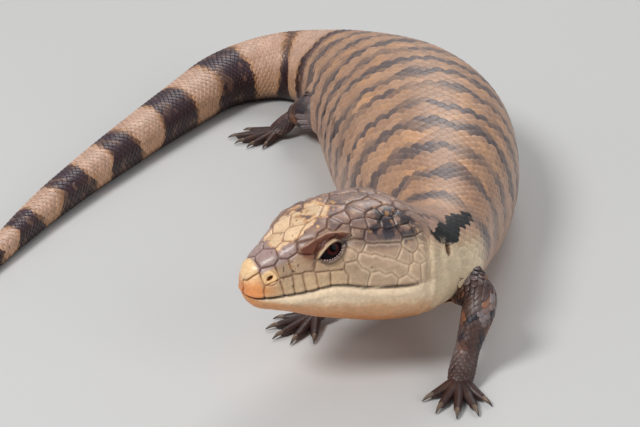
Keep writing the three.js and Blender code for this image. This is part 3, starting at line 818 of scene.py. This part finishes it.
def head_grid():
    """The head's rings: distances, degrees up, points, colours with painted shade and highlights, and seams
    with painted shade.
    """
    S, A = ring_grid(HEAD_SKIN_END * np.linspace(0, 1, HEAD_RINGS) ** 1.25, HEAD_AROUND, -math.pi / 2)
    up = folded(A)
    base = body_point(S, A, -COAT)
    out = normals_of(base)
    out[0] = -HEAD_ALONG
    warp = 0.3 * np.stack([noise(base, 4, seed) for seed in (91, 92, 93)], -1)
    plate, border = plates_at(base + warp)
    along, _, height = head_coordinates(base)
    mouth = height - mouth_height(along)
    closing = fade(along, 44, 50)
    dry = closing * ease(mouth, -0.2, 0.4) + (1 - closing) * ease(up, -6, 4)
    rear = 57 + 4 * fade(up, 20, 45)
    cheek = ease(S, 24, 31) * fade(up, 27, 38) * dry
    strength = (0.1 + 0.9 * dry) * (1 - 0.8 * ease(S, 48, 54)) * fade(S, rear - 4, rear) * (1 - 0.35 * cheek)
    raised = COAT * 0.75 * fade(S, rear - 6, rear + 1) + strength * plate_relief(border)
    raised += 0.03 * noise(base, 1.2, 94) + 0.05 * noise(base, 3.0, 95) + neck_folds(S, up)
    lips = 0.3 * bell(mouth, 0.9, 0.6) + 0.45 * bell(mouth, -2.0, 1.4) * ease(S, 5, 14)
    raised += closing * (lips - 1.15 * bell(mouth, 0, 0.34))
    dark_lines = (0.06 + 0.94 * dry) * (0.6 + 0.4 * ease(up, 24, 40)) * (1 - 0.72 * cheek)
    seam_and_shade = dark_lines * bell(border, 0, 0.24) * fade(S, 48, rear)
    grid = base + out * raised[..., None]
    grid, seam_and_shade = add_nostrils(grid, out, seam_and_shade)
    grid, seam_and_shade = add_ears(grid, out, seam_and_shade)
    colours = head_colours(S, A, base, plate)
    # Pale edges just inside the cheek plates' borders: a painted highlight along their edges.
    colours = painted(colours, [("lower_lip", 0.4 * cheek * bell(border, 0.5, 0.35))])
    colours, grid, seam_and_shade = add_lids(grid, colours, seam_and_shade)
    colours = painted(colours, [
        # A near-black line along the mouth's groove: painted shade in the crease between the lips.
        ("mouth", 0.92 * closing * bell(mouth, 0, 0.42)),
        ("lower_lip", 0.7 * closing * bell(mouth, -1.6, 1.0) * ease(S, 6, 12)),
    ])
    return S, up, above_floor(grid), colours, seam_and_shade


def around_openings(grid, opening):
    """For the opening on each side, how far forwards and up of it the points of a grid
    are, and whether they are on its side of the head."""
    for side in (1, -1):
        d = grid - body_point(opening["along"], facing(opening["degrees"], side), -COAT)
        yield d @ HEAD_ALONG, d @ HEAD_UP, d @ HEAD_LEFT * side > -4


def add_nostrils(grid, out, seam_and_shade):
    """A slanting slit in a shallow funnel, with an arched groove behind it."""
    tilt = math.radians(NOSTRIL["tilt"])
    for p, q, outer in around_openings(grid, NOSTRIL):
        a = p * math.cos(tilt) + q * math.sin(tilt)
        b = q * math.cos(tilt) - p * math.sin(tilt)
        slit = np.hypot(a / NOSTRIL["half_length"], b / NOSTRIL["half_width"])
        well = NOSTRIL["depth"] * fade(slit, 0.55, 1.3) * outer
        funnel = 0.5 * bell(np.hypot(p - 0.35, q + 0.2), 0, 1.25)
        ring = np.hypot(p - 0.1, q)
        arch = bell(ring, 2.15, 0.2) * ease(p - 0.4 * q, -0.6, 0.6) * outer
        rim = 0.2 * bell(ring, 1.6, 0.5)
        grid = grid - out * (well + 0.28 * arch + (funnel - rim) * outer)[..., None]
        # The slit's well and the arched groove are darkened through the seam attribute: painted shade in the
        # nostril and its groove.
        seam_and_shade = np.maximum(seam_and_shade, np.maximum(ease(well, 0.25, 1.0), 0.7 * arch))
    return grid, seam_and_shade


def add_ears(grid, out, seam_and_shade):
    for p, q, outer in around_openings(grid, EAR):
        cup = fade(np.hypot(p / EAR["half_length"], q / EAR["half_height"]), 0.5, 1.15)
        cup = EAR["depth"] * cup * outer
        grid = grid - out * cup[..., None]
        # The ear's cup is darkened through the seam attribute: painted shade in the opening.
        seam_and_shade = np.maximum(seam_and_shade, ease(cup, 0.4, 1.5))
    return grid, seam_and_shade


# The rim of the lids and the folds outside it: height, place outwards and width
LID_FOLDS = [[0.2, -0.4, 0.35], [-0.25, -1.15, 0.3], [0.14, -1.7, 0.3], [-0.18, -2.3, 0.3]]


def add_lids(grid, colours, seam_and_shade):
    """Draws the lids and the brow over the eyeballs and opens the lids, with painted shade in the brow's
    crease, along the lid rims, in a lid fold and in the opening, and a painted highlight on the brow's
    crest.
    """
    for side in (1, -1):
        centre, axes = eye_axes(side)
        d = grid - centre
        x, y, z = np.moveaxis(d @ axes.T, -1, 0)
        distance = lengths_of(d)
        near = (z > 0) & (distance < 11.5)
        inside, upper = opening_depth(x, y)
        lid = LID_RADIUS + sum(height * bell(inside, *where) for height, *where in LID_FOLDS)
        lid += 0.07 * np.sin(x * 8.5) * bell(inside, -0.4, 0.4) * (1 - upper)
        drawn_in = 0.8 * np.minimum(lid + 0.1 - distance, 0) * fade(-inside, 1.6, 3.6)
        opened = ease(inside, -0.1, 0.3)
        target = distance + near * (np.maximum(lid - distance, 0) + drawn_in)
        target = target * (1 - opened) + (EYE["radius"] - 0.7) * opened
        crest = 5.15 - 0.032 * (x + 1) ** 2
        crest += 0.03 * (np.minimum(x + 3, 0) ** 2 - np.maximum(x - 1, 0) ** 2)
        crease = 3.65 - 0.09 * (x - 0.6) ** 2
        ledge = (1 - opened) * ease(x, -8.5, -5.5) * fade(x, 6.0, 9.0) * (z > 0)
        target += ledge * (0.72 * bell(y, crest - 0.3, 0.6) - 0.5 * bell(y, crease, 0.5))
        moved = centre + d * (target / np.maximum(distance, 1e-6))[..., None]
        grid = np.where(near[..., None], moved, grid)
        rough = noise(grid, 1.1, 17)
        brow = near * (inside < 0) * ease(x, -8.6, -7.2) * fade(x, 7.0, 9.0)
        brow = brow * ease(y, 1.4, 2.2) * fade(y + 0.3 * rough, crest + 0.1, crest + 0.6)
        edge = near * bell(inside, -0.26, 0.28)
        pale = upper * fade(x, 2.0, 4.6)
        colours = painted(colours, [
            ("brow", 0.9 * brow),
            ("brow", 0.85 * near * spot(x, y, -6.0, 2.2, 1.6, 2.2)),
            # A darker brown along the crease under the brow's ledge: the brow's own colour with painted
            # shade.
            ("brow_crease_shade", 0.9 * ledge * near * bell(y, crease - 0.2, 0.6)),
            ("lid", 0.95 * edge * pale),
            # A pale line along the brow's crest: a painted highlight.
            ("cream", 0.45 * ledge * near * bell(y + 0.2 * rough, crest + 0.1, 0.28)),
            # A near-black line along the lid rims where they meet the eye, except the pale front of the
            # upper lid: painted shade.
            ("mouth", 0.85 * edge * (1 - pale)),
            # A dark line in the fold outside the lower lid's rim: painted shade.
            ("groove", 0.55 * near * (1 - upper) * bell(inside, -1.15, 0.3)),
            ("ink", 0.95 * near * spot(x, y, 6.0, 1.3, 0.6, 1.3)),
            # The skin drawn back inside the opening is near-black: painted shade between the lids and the
            # eye.
            ("mouth", near * ease(inside, -0.1, 0.15)),
        ])
        seam_and_shade = np.where(near & (inside > -3.2), seam_and_shade * 0.25, seam_and_shade)
    return colours, grid, seam_and_shade


BEAD = {"radius": 0.3, "spacing": 0.78, "from": -2.9, "to": 4.6, "up": 0.22, "outwards": 0.32}


def lid_beads():
    """Parts of the skin: the row of small pale scales along each lower lid's edge."""
    P, Q = ring_grid(np.linspace(0.05, math.pi - 0.05, 7), 10)
    ball = np.stack([np.sin(P) * np.cos(Q), np.sin(P) * np.sin(Q), np.cos(P)], -1).reshape(-1, 3)
    faces, corner = ring_faces(*P.shape)
    plain = np.zeros(len(ball))
    for side in (1, -1):
        centre, axes = eye_axes(side)
        x = BEAD["from"]
        while x < BEAD["to"]:
            y = BEAD["up"] - lid_margin(x, "lower")
            z = math.sqrt((EYE["radius"] + BEAD["outwards"]) ** 2 - x ** 2 - y ** 2)
            size = BEAD["radius"] * (0.85 + 0.3 * random_at(x * 50, 3, side, 19))
            points = centre + np.array([x, y, z]) @ axes + ball * size
            colours = painted(PAINT["bead"], [("groove", np.full(len(ball), 0.5 * (x > 3.4)))])
            uv = unwrap(np.array(EYE["along"] + x), np.array(0.33)) + corner / 20000
            yield points, faces, colours, plain, uv, plain
            x += BEAD["spacing"] / math.sqrt(1 + margin_slope(x, "lower") ** 2)


def body_grid():
    """The rings from the neck back: distances, points, colours."""
    count = int((TOTAL_LENGTH - HEAD_SKIN_END) / BODY_STEP)
    s = np.linspace(HEAD_SKIN_END, TOTAL_LENGTH, count + 1)[1:]
    S, A = ring_grid(s, BODY_AROUND, -math.pi / 2)
    grid = body_point(S, A, -COAT)
    near = near_limbs(S)
    drawn = np.zeros(S.shape)
    drawn[near] = drawn_out(grid[near], limb_gap(grid[near]))
    grid = grid + normals_of(grid) * drawn[..., None]
    return S, above_floor(grid), body_colours(S, A, grid)


def unwrapped_rings(S):
    """Triangles of rings round the body, and their corners' places on the unwrap."""
    faces, corner = ring_faces(*S.shape)
    return faces, unwrap(S[:, 0][corner[..., 0]], corner[..., 1] / S.shape[1])


def neck_strip(head_ring, body_ring):
    """Triangles from the head's last ring to the body's first one, which has fewer
    points, and their places on the unwrap."""
    every = HEAD_AROUND // BODY_AROUND
    faces = []
    for k in range(BODY_AROUND):
        this, following = body_ring + k, body_ring + (k + 1) % BODY_AROUND
        fine = [head_ring + (k * every + j) % HEAD_AROUND for j in range(every + 1)]
        for j in range(every):
            faces.append([fine[j], this if j < every // 2 else following, fine[j + 1]])
        faces.append([fine[every // 2], this, following])
    turn = np.repeat(np.arange(BODY_AROUND) / BODY_AROUND, every + 1)
    places = unwrap(np.full(len(faces), HEAD_SKIN_END), turn)
    return faces, np.repeat(places[:, None], 3, axis=1)


def body_part():
    """The part of the skin from the snout to the tail's end: fine rings on the head and
    coarser ones behind it, closed at both ends."""
    head_s, up, head, head_shades, head_seams_and_shade = head_grid()
    body_s, body, body_shades = body_grid()
    tip, start = head_s.size, head_s.size + 1
    end = start + body_s.size
    head_faces, head_uv = unwrapped_rings(head_s)
    body_faces, body_uv = unwrapped_rings(body_s)
    strip, strip_uv = neck_strip(tip - HEAD_AROUND, start)
    tip_faces = cap_faces(0, HEAD_AROUND, tip, True)
    end_faces = cap_faces(end - BODY_AROUND, BODY_AROUND, end, False)
    faces = np.vstack([head_faces, tip_faces, body_faces + start, end_faces, strip])
    tip_uv = np.full((HEAD_AROUND, 3, 2), 0.001)
    end_uv = np.full((BODY_AROUND, 3, 2), 0.999)
    uv = np.concatenate([head_uv, tip_uv, body_uv, end_uv, strip_uv])
    points, colours = (
        np.vstack([a.reshape(-1, 3), a[0].mean(0), b.reshape(-1, 3), b[-1].mean(0)])
        for a, b in ((head, body), (head_shades, body_shades)))
    # The body's skin under the scales is darkened as painted shade.
    body_shade_under_scales = SKIN_SHADE_UNDER_SCALES * ease(body_s.ravel(), 76, 92)
    seams_and_shade = np.concatenate([head_seams_and_shade.ravel(), [0], body_shade_under_scales, [SKIN_SHADE_UNDER_SCALES]])
    gloss = np.zeros(len(points))
    gloss[:tip] = (ease(up, 36, 50) * (0.55 + 0.45 * fade(head_s, 12, 16))).ravel()
    return points, faces, colours, seams_and_shade, uv, gloss


def tube_mesh(tube, rings, around, grow=0.0, push=None):
    """A closed tube's points, faces, share of the length at each point, and unwrap."""
    S, A = ring_grid(np.linspace(0, tube.length, rings), around)
    grid = tube.point(S, A, grow)
    if push is not None:
        grid = grid + normals_of(grid) * push(grid)[..., None]
    faces, corner = ring_faces(rings, around)
    size = rings * around
    caps = [cap_faces(0, around, size, True), cap_faces(size - around, around, size + 1, False)]
    points = np.vstack([grid.reshape(-1, 3), grid[0].mean(0), grid[-1].mean(0)])
    share = np.append(S.ravel() / tube.length, [0, 1])
    return points, np.vstack([faces, *caps]), share, corner / np.array([rings - 1, around])


def trunk_tree():
    """The trunk's surface between the neck and the tail, for finding nearest points."""
    S, A = ring_grid(np.linspace(40, 320, 130), 60)
    points = body_point(S, A, -COAT).reshape(-1, 3)
    return BVHTree.FromPolygons([Vector(p) for p in points], ring_faces(*S.shape)[0].tolist())


TRUNK_TREE = trunk_tree()


def trunk_gap(points):
    """The signed distance from points to the trunk, for the drawn-out joins."""
    flat = points.reshape(-1, 3)
    gap = np.empty(len(flat))
    for i, p in enumerate(flat):
        hit, normal, _, _ = TRUNK_TREE.find_nearest(Vector(p))
        away = Vector(p) - hit
        gap[i] = math.copysign(away.length, away.dot(normal))
    return gap.reshape(points.shape[:-1])


def tube_ahead(limb, turn, steps, radii, spacing, spread):
    """A tube that leaves a foot's middle at an angle, by how far and how high it goes."""
    middle, way = limb["middle"], level(limb["way"] + turn * limb["side"])
    path = [[*(middle + way * ahead)[:2], height] for ahead, height in steps]
    line, radii = polyline(path, radii, spacing)
    return Tube(softened(line, spread), radii)


def toe_tubes(limb):
    """The flesh of each toe of a foot and its claw, as tubes."""
    r = TOE_RADIUS
    for turn, reach in limb["toes"]:
        tip = reach + 4
        toe = [[1, 2.7], [4.5, 2.3], [0.7 * tip, r + 0.15], [tip, 0.8 * r]]
        claw = [[tip - 2.2, 1.2], [tip - 0.4, 1.75], [tip + 1.3, 1.5], [tip + CLAW_LENGTH, 0.45]]
        flesh = tube_ahead(limb, turn, toe, [1.3 * r, 1.25 * r, r, 0.8 * r], 0.25, 4)
        yield flesh, tube_ahead(limb, turn, claw, [0.8, 0.78, 0.55, 0.12], 0.15, 5)


def limb_part(points, faces, share, seams_and_shade, uv, spot_of_ends):
    """A part of the skin for a limb or a toe, with its capped ends in one spot of the
    unwrap."""
    points = above_floor(points)
    uv = np.concatenate([uv, np.full((len(faces) - len(uv), 3, 2), spot_of_ends)])
    return points, faces, limb_colours(share, points), seams_and_shade, uv, np.zeros(len(points))


def limb_parts():
    """Parts of the skin for the limbs and toes, the limbs' tubes and the claws' ones."""
    parts, tubes, claws = [], [], []
    for index, limb in enumerate(LIMB_LINES.values()):
        tube = Tube(limb["line"], limb["radii"], limb["flatness"])
        tubes.append(tube)
        push = lambda grid: drawn_out(grid, trunk_gap(grid))
        points, faces, share, corner = tube_mesh(tube, 110, 48, -COAT, push)
        uv = unwrap_limb(index, corner[..., 0], corner[..., 1])
        # The limb's skin under its scales is darkened as painted shade.
        seams_and_shade = np.full(len(points), SKIN_SHADE_UNDER_SCALES)
        parts.append(limb_part(points, faces, share, seams_and_shade, uv, UV_LIMB["start"]))
        for number, (flesh, claw) in enumerate(toe_tubes(limb)):
            points, faces, share, corner = tube_mesh(flesh, 40, 24, -0.15)
            at = share * flesh.length
            folds = np.abs(0.14 * np.sin(at * TAU / TOE_FOLD_SPACING))
            middle = flesh.value(flesh.line, at)
            points = middle + (points - middle) * (1 + folds - 0.07)[:, None]
            left = index * UV_LIMB["length"] + number * UV_LIMB["toe"]
            uv = np.array([left, UV_LIMB["toes"]]) + corner * 0.9 * UV_LIMB["toe"]
            share = np.full(len(points), 0.9)
            # The creases between a toe's folds are darkened through the seam attribute: painted shade.
            parts.append(limb_part(points, faces, share, 0.5 - 3 * folds, uv, UV_LIMB["toe_ends"]))
            claws.append(claw)
    return parts, tubes, claws


# Scales: one lens for each, from rings of corners, its free edge towards the tail
SCALE_CORNERS = 12
SCALE_RINGS = [0.5, 0.82, 0.96, 1]


def scale_template():
    """Corners along and across, which of them are at the rim or under it, and faces."""
    t = TAU * np.arange(SCALE_CORNERS) / SCALE_CORNERS
    c, n = np.cos(t), np.sin(t)
    outline = np.stack([np.sign(c) * np.abs(c) ** 0.9, np.sign(n) * np.abs(n) ** 0.85], 1)
    plan = np.vstack([[0, 0], *(size * outline for size in SCALE_RINGS), [0, 0]])
    last = len(plan) - 1
    rim = last - SCALE_CORNERS
    faces = np.vstack([
        cap_faces(1, SCALE_CORNERS, 0, True),
        ring_faces(len(SCALE_RINGS), SCALE_CORNERS)[0] + 1,
        cap_faces(rim, SCALE_CORNERS, last, False),
    ])
    return plan, np.arange(len(plan)) >= rim, faces


PLAN, UNDER, SCALE_FACES = scale_template()
SCALE = {"root": -0.22, "edge": 0.5, "dome": 0.14, "thickness": 0.3, "length": 1.6, "overlap": 1.06}


def make_scales(surface, rows, colours, patch, prominence=1.0):
    """Joined scales on a surface. Each row has a scale's distance, angle, radius for its
    angle, spacing and width."""
    s, angle, per_radian, pitch, width = (column[:, None] for column in rows.T)
    u, v = PLAN.T
    S = s + SCALE["length"] * pitch * u
    A = angle + SCALE["overlap"] * width / 2 * v / per_radian
    size = np.minimum(width / 4.5, 1.1) * np.reshape(prominence, (-1, 1))
    reach = np.hypot(u, v)
    rise = SCALE["root"] + (SCALE["edge"] - SCALE["root"]) * (u + 1) / 2
    shape = rise + SCALE["dome"] * (1 - v ** 2) - 0.1 * ease(reach, 0.82, 1.0)
    height = size * (shape - SCALE["thickness"] * UNDER)
    points = above_floor(surface(S, A, height - COAT)).reshape(-1, 3)
    faces = (SCALE_FACES + (np.arange(len(rows)) * len(PLAN))[:, None, None]).reshape(-1, 3)
    # The free rim is lightened as a painted highlight; the side wall and underside are darkened, in the
    # colour and through the seam attribute, as painted shade.
    edge = ease(reach, 0.62, 1.0) * (u > -0.3)
    tone = colours[:, None] * (1 + 0.22 * edge - 0.55 * UNDER)[:, None]
    seam_and_shade = np.tile(UNDER * 0.8, len(rows))
    uv = (patch[:, None, None] + PLAN[SCALE_FACES] * 0.0015).reshape(-1, 2)
    return points, faces, tone.reshape(-1, 3), seam_and_shade, uv


# Columns of scales round the body up to each distance, and the rows' spacing there
SCALE_COLUMNS = [[250, 34], [290, 30], [335, 24], [390, 20], [440, 16], [485, 12], [TOTAL_LENGTH, 8]]
ROW_SPACING = 0.42
FIRST_ROW = 52.5
SIDE_SCALES_LATER = 8.0
SCALE_PIECES = [
    ["neck_scales", 0, 105], ["torso_front_scales", 105, 165], ["torso_rear_scales", 165, 240],
    ["pelvis_scales", 240, 330], ["tail_front_scales", 330, 405],
    ["tail_rear_scales", 405, TOTAL_LENGTH],
]


def body_scale_rows():
    """Each scale's distance, angle, radius for its angle, spacing and width."""
    rows = []
    s, shift = FIRST_ROW, 0
    angles = np.linspace(0, TAU, 241) + math.pi / 2
    while s < TOTAL_LENGTH - 2:
        columns = next(count for limit, count in SCALE_COLUMNS if s <= limit)
        arc = distances(body_point(s, angles))
        steps = np.diff(arc)
        width = arc[-1] / columns
        pitch = ROW_SPACING * width
        at = (np.arange(columns) + shift) * width
        radii = np.interp(at, arc[:-1] + steps / 2, steps / (angles[1] - angles[0]))
        rows += [[s, angle, r, pitch, width] for angle, r in zip(np.interp(at, arc, angles), radii)]
        s += pitch
        shift = 0.5 - shift
    return np.array(rows)


def make_body_scales(material):
    """The pieces of scales from the neck to the tail's end, with none under the limbs,
    in the ears or under the throat."""
    rows = body_scale_rows()
    s, angle = rows[:, 0], rows[:, 1]
    roots = body_point(s, angle)
    near = near_limbs(s)
    covered = np.zeros(len(rows), bool)
    covered[near] = limb_gap(roots[near]) < -1.5
    for side in (1, -1):
        hole = body_point(EAR["along"], facing(EAR["degrees"], side))
        covered |= lengths_of(roots - hole) < EAR["bare"]
    starts = FIRST_ROW + SIDE_SCALES_LATER * fade(folded(angle), 30, 50)
    off_floor = (roots[:, 2] > -0.5) | (s > 90)
    rows = rows[~covered & (s > starts) & off_floor]
    for name, start, end in SCALE_PIECES:
        part = rows[(rows[:, 0] >= start) & (rows[:, 0] < end)]
        yield body_scale_piece(name, part, material)


def body_scale_piece(name, rows, material):
    s, angle = rows[:, 0], rows[:, 1]
    surface = lambda S, A, grow: draw_to_limbs(body_point(S, A, grow), S)
    tone = 0.9 + 0.2 * random_at(s * 13, angle * 57, 0, 7)
    colours = body_colours(s, angle, body_point(s, angle)) * tone[:, None]
    patch = unwrap(s, np.mod(angle / TAU + 0.25, 1))
    stands = 0.3 + 0.7 * ease(s, 59, 82)
    points, faces, tone, seam_and_shade, uv = make_scales(surface, rows, colours, patch, stands)
    return build(name, points, faces, material, tone, {"seam_and_shade": seam_and_shade}, uv)


def draw_to_limbs(points, s):
    """Moves the surface out by the same fillet as the skin beside each limb."""
    near = near_limbs(s)
    if not near.any():
        return points
    picked = points[near]
    middle = place(s[near], 0, row_at(OUTLINE, s[near])[..., 2])
    points = points.copy()
    points[near] = picked + unit(picked - middle) * drawn_out(picked, limb_gap(picked))[:, None]
    return points


LIMB_SCALE_WIDTH = 2.7
LIMB_ROW_SPACING = 0.48


def limb_scale_rows(tube):
    """The same values as in body_scale_rows, for one limb."""
    rows = []
    s, shift = 1.0, 0
    while s < tube.length - 1.5:
        radius = float(tube.radius(s))
        columns = max(8, 2 * round(TAU * radius / LIMB_SCALE_WIDTH / 2))
        width = TAU * radius / columns
        pitch = LIMB_ROW_SPACING * width
        rows += [[s, TAU * (k + shift) / columns, radius, pitch, width] for k in range(columns)]
        s += pitch
        shift = 0.5 - shift
    return np.array(rows)


def make_limb_scales(tubes, material):
    parts = []
    for index, tube in enumerate(tubes):
        rows = limb_scale_rows(tube)
        roots = tube.point(rows[:, 0], rows[:, 1])
        gap = trunk_gap(roots)
        kept = (gap > 0.3) & (roots[:, 2] > -0.4)
        rows, roots = rows[kept], roots[kept]
        drawn = drawn_out(roots, gap[kept])[:, None, None]
        s, angle = rows[:, 0], rows[:, 1]
        share = s / tube.length
        tone = 0.85 + 0.3 * random_at(s * 17, angle * 31, index, 8)
        patch = unwrap_limb(index, share, np.mod(angle / TAU, 1))

        def surface(S, A, grow, tube=tube, drawn=drawn):
            S = np.clip(S, 0, tube.length)
            p = tube.point(S, A, grow)
            return p + unit(p - tube.value(tube.line, S)) * drawn

        parts.append(make_scales(surface, rows, limb_colours(share, roots) * tone[:, None], patch))
    points, faces, tone, seam_and_shade, uv = joined(parts)
    return build("limb_scales", points, faces, material, tone, {"seam_and_shade": seam_and_shade}, uv)


# Eyes: balls whose pole looks out through the almond, with a raised cornea
PUPIL, IRIS = 0.21, 0.40


def make_eye(name, side, material):
    centre, (across, over, outward) = eye_axes(side)
    aside, above = GAZE
    ahead = math.sqrt(EYE["radius"] ** 2 - aside ** 2 - above ** 2)
    pole = unit(across * aside + over * above + outward * ahead)
    first = unit(np.cross(over, pole))
    P, Q = ring_grid(math.pi * np.linspace(0.0, 1.0, 96) ** 1.3, 96)
    flat = np.cos(Q)[..., None] * first + np.sin(Q)[..., None] * np.cross(pole, first)
    way = np.sin(P)[..., None] * flat + np.cos(P)[..., None] * pole
    points = centre + way * (EYE["radius"] + 0.2 * fade(P, 0.3, 0.7))[..., None]
    streak = noise(np.stack([Q * 42 / TAU, P * 3, Q * 0], -1), 1.0, 101)
    colours = painted(PAINT["iris"], [("iris_light", 0.5 * bell(P, 0.29, 0.06) * (0.8 + 0.2 * streak))])
    colours = painted(colours * (1 + 0.2 * streak)[..., None], [
        ("iris_rim", ease(P, IRIS - 0.05, IRIS + 0.04)),
        ("pupil", fade(P, PUPIL - 0.02, PUPIL + 0.02)),
    ])
    faces, _ = ring_faces(*P.shape)
    return build(name, points.reshape(-1, 3), faces, material, colours.reshape(-1, 3))


def make_claws(claws, material):
    parts = []
    for claw in claws:
        points, faces, share, _ = tube_mesh(claw, 22, 16)
        parts.append([above_floor(points), faces, share])
    points, faces, share = joined(parts)
    colours = painted(PAINT["claw"], [("claw_tip", ease(share, 0.5, 1))])
    return build("claws", points, faces, material, colours)


# Materials
def new_material(name):
    material = bpy.data.materials.new(name)
    material.use_nodes = True
    tree = material.node_tree
    return material, tree, tree.nodes["Principled BSDF"]


def fill(tree, made, inputs):
    """Gives a node's inputs their values, or joins them to another node's output."""
    for key, value in inputs.items():
        if isinstance(value, bpy.types.NodeSocket):
            tree.links.new(value, made.inputs[key])
        else:
            made.inputs[key].default_value = value


def node(tree, kind, inputs, output, **settings):
    """The output of a new node."""
    made = tree.nodes.new("ShaderNode" + kind)
    for key, value in settings.items():
        setattr(made, key, value)
    fill(tree, made, inputs)
    return made.outputs[output]


def attribute(tree, name, output="Fac"):
    return node(tree, "Attribute", {}, output, attribute_name=name)


def grain(tree, scale, detail, roughness=0.5):
    """Fine noise fixed to the object."""
    inputs = {"Vector": node(tree, "TexCoord", {}, "Object")}
    inputs |= {"Scale": scale, "Detail": detail, "Roughness": roughness}
    return node(tree, "TexNoise", inputs, "Fac")


def ranged(tree, value, low, high, start=0.0, end=1.0):
    """A value from start to end, moved to lie between low and high."""
    inputs = {"Value": value, "From Min": start, "From Max": end, "To Min": low, "To Max": high}
    return node(tree, "MapRange", inputs, "Result")


def multiplied(tree, a, b, share=1.0):
    inputs = {"Factor": share, "A": a, "B": b}
    return node(tree, "Mix", inputs, "Result", data_type="RGBA", blend_type="MULTIPLY")


def raised(tree, height, strength, distance):
    inputs = {"Strength": strength, "Distance": distance, "Height": height}
    return node(tree, "Bump", inputs, "Normal")


def skin_material(name, roughness, bump, seam_and_shade_colour, coat):
    """Painted markings, with painted shade and highlights among them, fine variation, darker seams and
    painted shade from the seam attribute, and a fine grain.
    """
    material, tree, shader = new_material(name)
    blotches = grain(tree, 900, 5, 0.6)
    tone = ranged(tree, blotches, 0.86, 1.12, 0.3, 0.7)
    varied = multiplied(tree, attribute(tree, "markings", "Color"), tone)
    rough = ranged(tree, blotches, roughness - 0.08, roughness + 0.12)
    smoother = {0: attribute(tree, "gloss"), 1: -0.14, 2: rough}
    fill(tree, shader, {
        "Base Color": multiplied(tree, varied, (*seam_and_shade_colour, 1), attribute(tree, "seam_and_shade")),
        "Roughness": node(tree, "Math", smoother, "Value", operation="MULTIPLY_ADD"),
        "Normal": raised(tree, grain(tree, 2600, 3, 0.55), bump, 0.0002),
        "Specular IOR Level": 0.45,
        "Coat Weight": coat,
        "Coat Roughness": 0.3,
    })
    return material


def eye_material():
    material, tree, shader = new_material("eye_surface")
    fine = grain(tree, 2200, 3)
    tone = ranged(tree, fine, 0.75, 1.25)
    fill(tree, shader, {
        "Base Color": multiplied(tree, attribute(tree, "markings", "Color"), tone),
        "Roughness": ranged(tree, fine, 0.06, 0.14),
        "Normal": raised(tree, fine, 0.04, 0.0001),
        "Specular IOR Level": 0.09,
    })
    return material


# The stage
CAMERA = {"place": (24.65, -535.16, 261.8), "tilt": 64, "lens": 90}
FLOOR_HALF = 6000
FLOOR_GREYS = [(0.55, 0.545, 0.53, 1), (0.6, 0.595, 0.58, 1)]
# Each light's place and target in metres, its size and its power
LIGHTS = {
    "key": [(-0.75, -0.65, 1.15), (0.02, -0.09, 0.04), 0.5, 15.0],
    "fill": [(0.95, -0.7, 0.6), (0.02, -0.09, 0.04), 0.9, 3.2],
    "back": [(0.3, 0.95, 0.95), (0.0, 0.05, 0.03), 0.7, 6.0],
}


def make_stage():
    material, tree, shader = new_material("floor_paper")
    colour = node(tree, "ValToRGB", {"Fac": grain(tree, 3, 4)}, "Color")
    for stop, grey in zip(colour.node.color_ramp.elements, FLOOR_GREYS):
        stop.color = grey
    fill(tree, shader, {"Base Color": colour, "Roughness": 0.85})
    corners = FLOOR_HALF * np.array([[-1, -1, 0], [1, -1, 0], [1, 1, 0], [-1, 1, 0]])
    build("floor", corners, np.array([[0, 1, 2, 3]]), material)


def make_lights():
    for name, (place_of_light, target, size, power) in LIGHTS.items():
        data = bpy.data.lights.new(name, "AREA")
        data.shape = "DISK"
        data.size = size
        data.energy = power
        light = add_object(name, data)
        light.location = place_of_light
        aim = Vector(target) - Vector(place_of_light)
        light.rotation_euler = aim.to_track_quat("-Z", "Y").to_euler()
    world = bpy.data.worlds.new("studio")
    world.use_nodes = True
    sky = {"Color": (0.92, 0.95, 1.0, 1), "Strength": 0.34}
    fill(world.node_tree, world.node_tree.nodes["Background"], sky)
    bpy.context.scene.world = world


def make_camera():
    data = bpy.data.cameras.new("camera")
    data.lens = CAMERA["lens"]
    data.sensor_width = 36
    data.clip_start = 0.01
    camera = add_object("camera", data)
    camera.location = [value * MM for value in CAMERA["place"]]
    camera.rotation_euler = (math.radians(CAMERA["tilt"]), 0, 0)
    bpy.context.scene.camera = camera


def main():
    bpy.context.scene.view_settings.view_transform = "Standard"
    make_camera()
    make_stage()
    make_lights()
    flesh = skin_material("skin", 0.42, 0.35, (0.42, 0.28, 0.22), 0.15)
    coat = skin_material("scale_horn", 0.4, 0.3, (0.35, 0.24, 0.2), 0.12)
    horn = skin_material("claw_horn", 0.35, 0.2, (0.5, 0.4, 0.35), 0.2)
    eye = eye_material()

    limbs, tubes, claws = limb_parts()
    points, faces, colours, seams_and_shade, uv, gloss = joined([body_part(), *lid_beads(), *limbs])
    body = build("skin", points, faces, flesh, colours, {"seam_and_shade": seams_and_shade, "gloss": gloss}, uv)
    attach(body, "root")
    nodes_of_flesh = [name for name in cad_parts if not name.startswith("eye")]
    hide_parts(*nodes_of_flesh)

    for piece in make_body_scales(coat):
        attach(piece, "root")
    for piece in (make_limb_scales(tubes, coat), make_claws(claws, horn)):
        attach(piece, "root")
    for name, side in (("left", 1), ("right", -1)):
        ball = make_eye(f"eyeball_{name}", side, eye)
        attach(ball, "root")
        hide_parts(f"eye_{name}")


main()
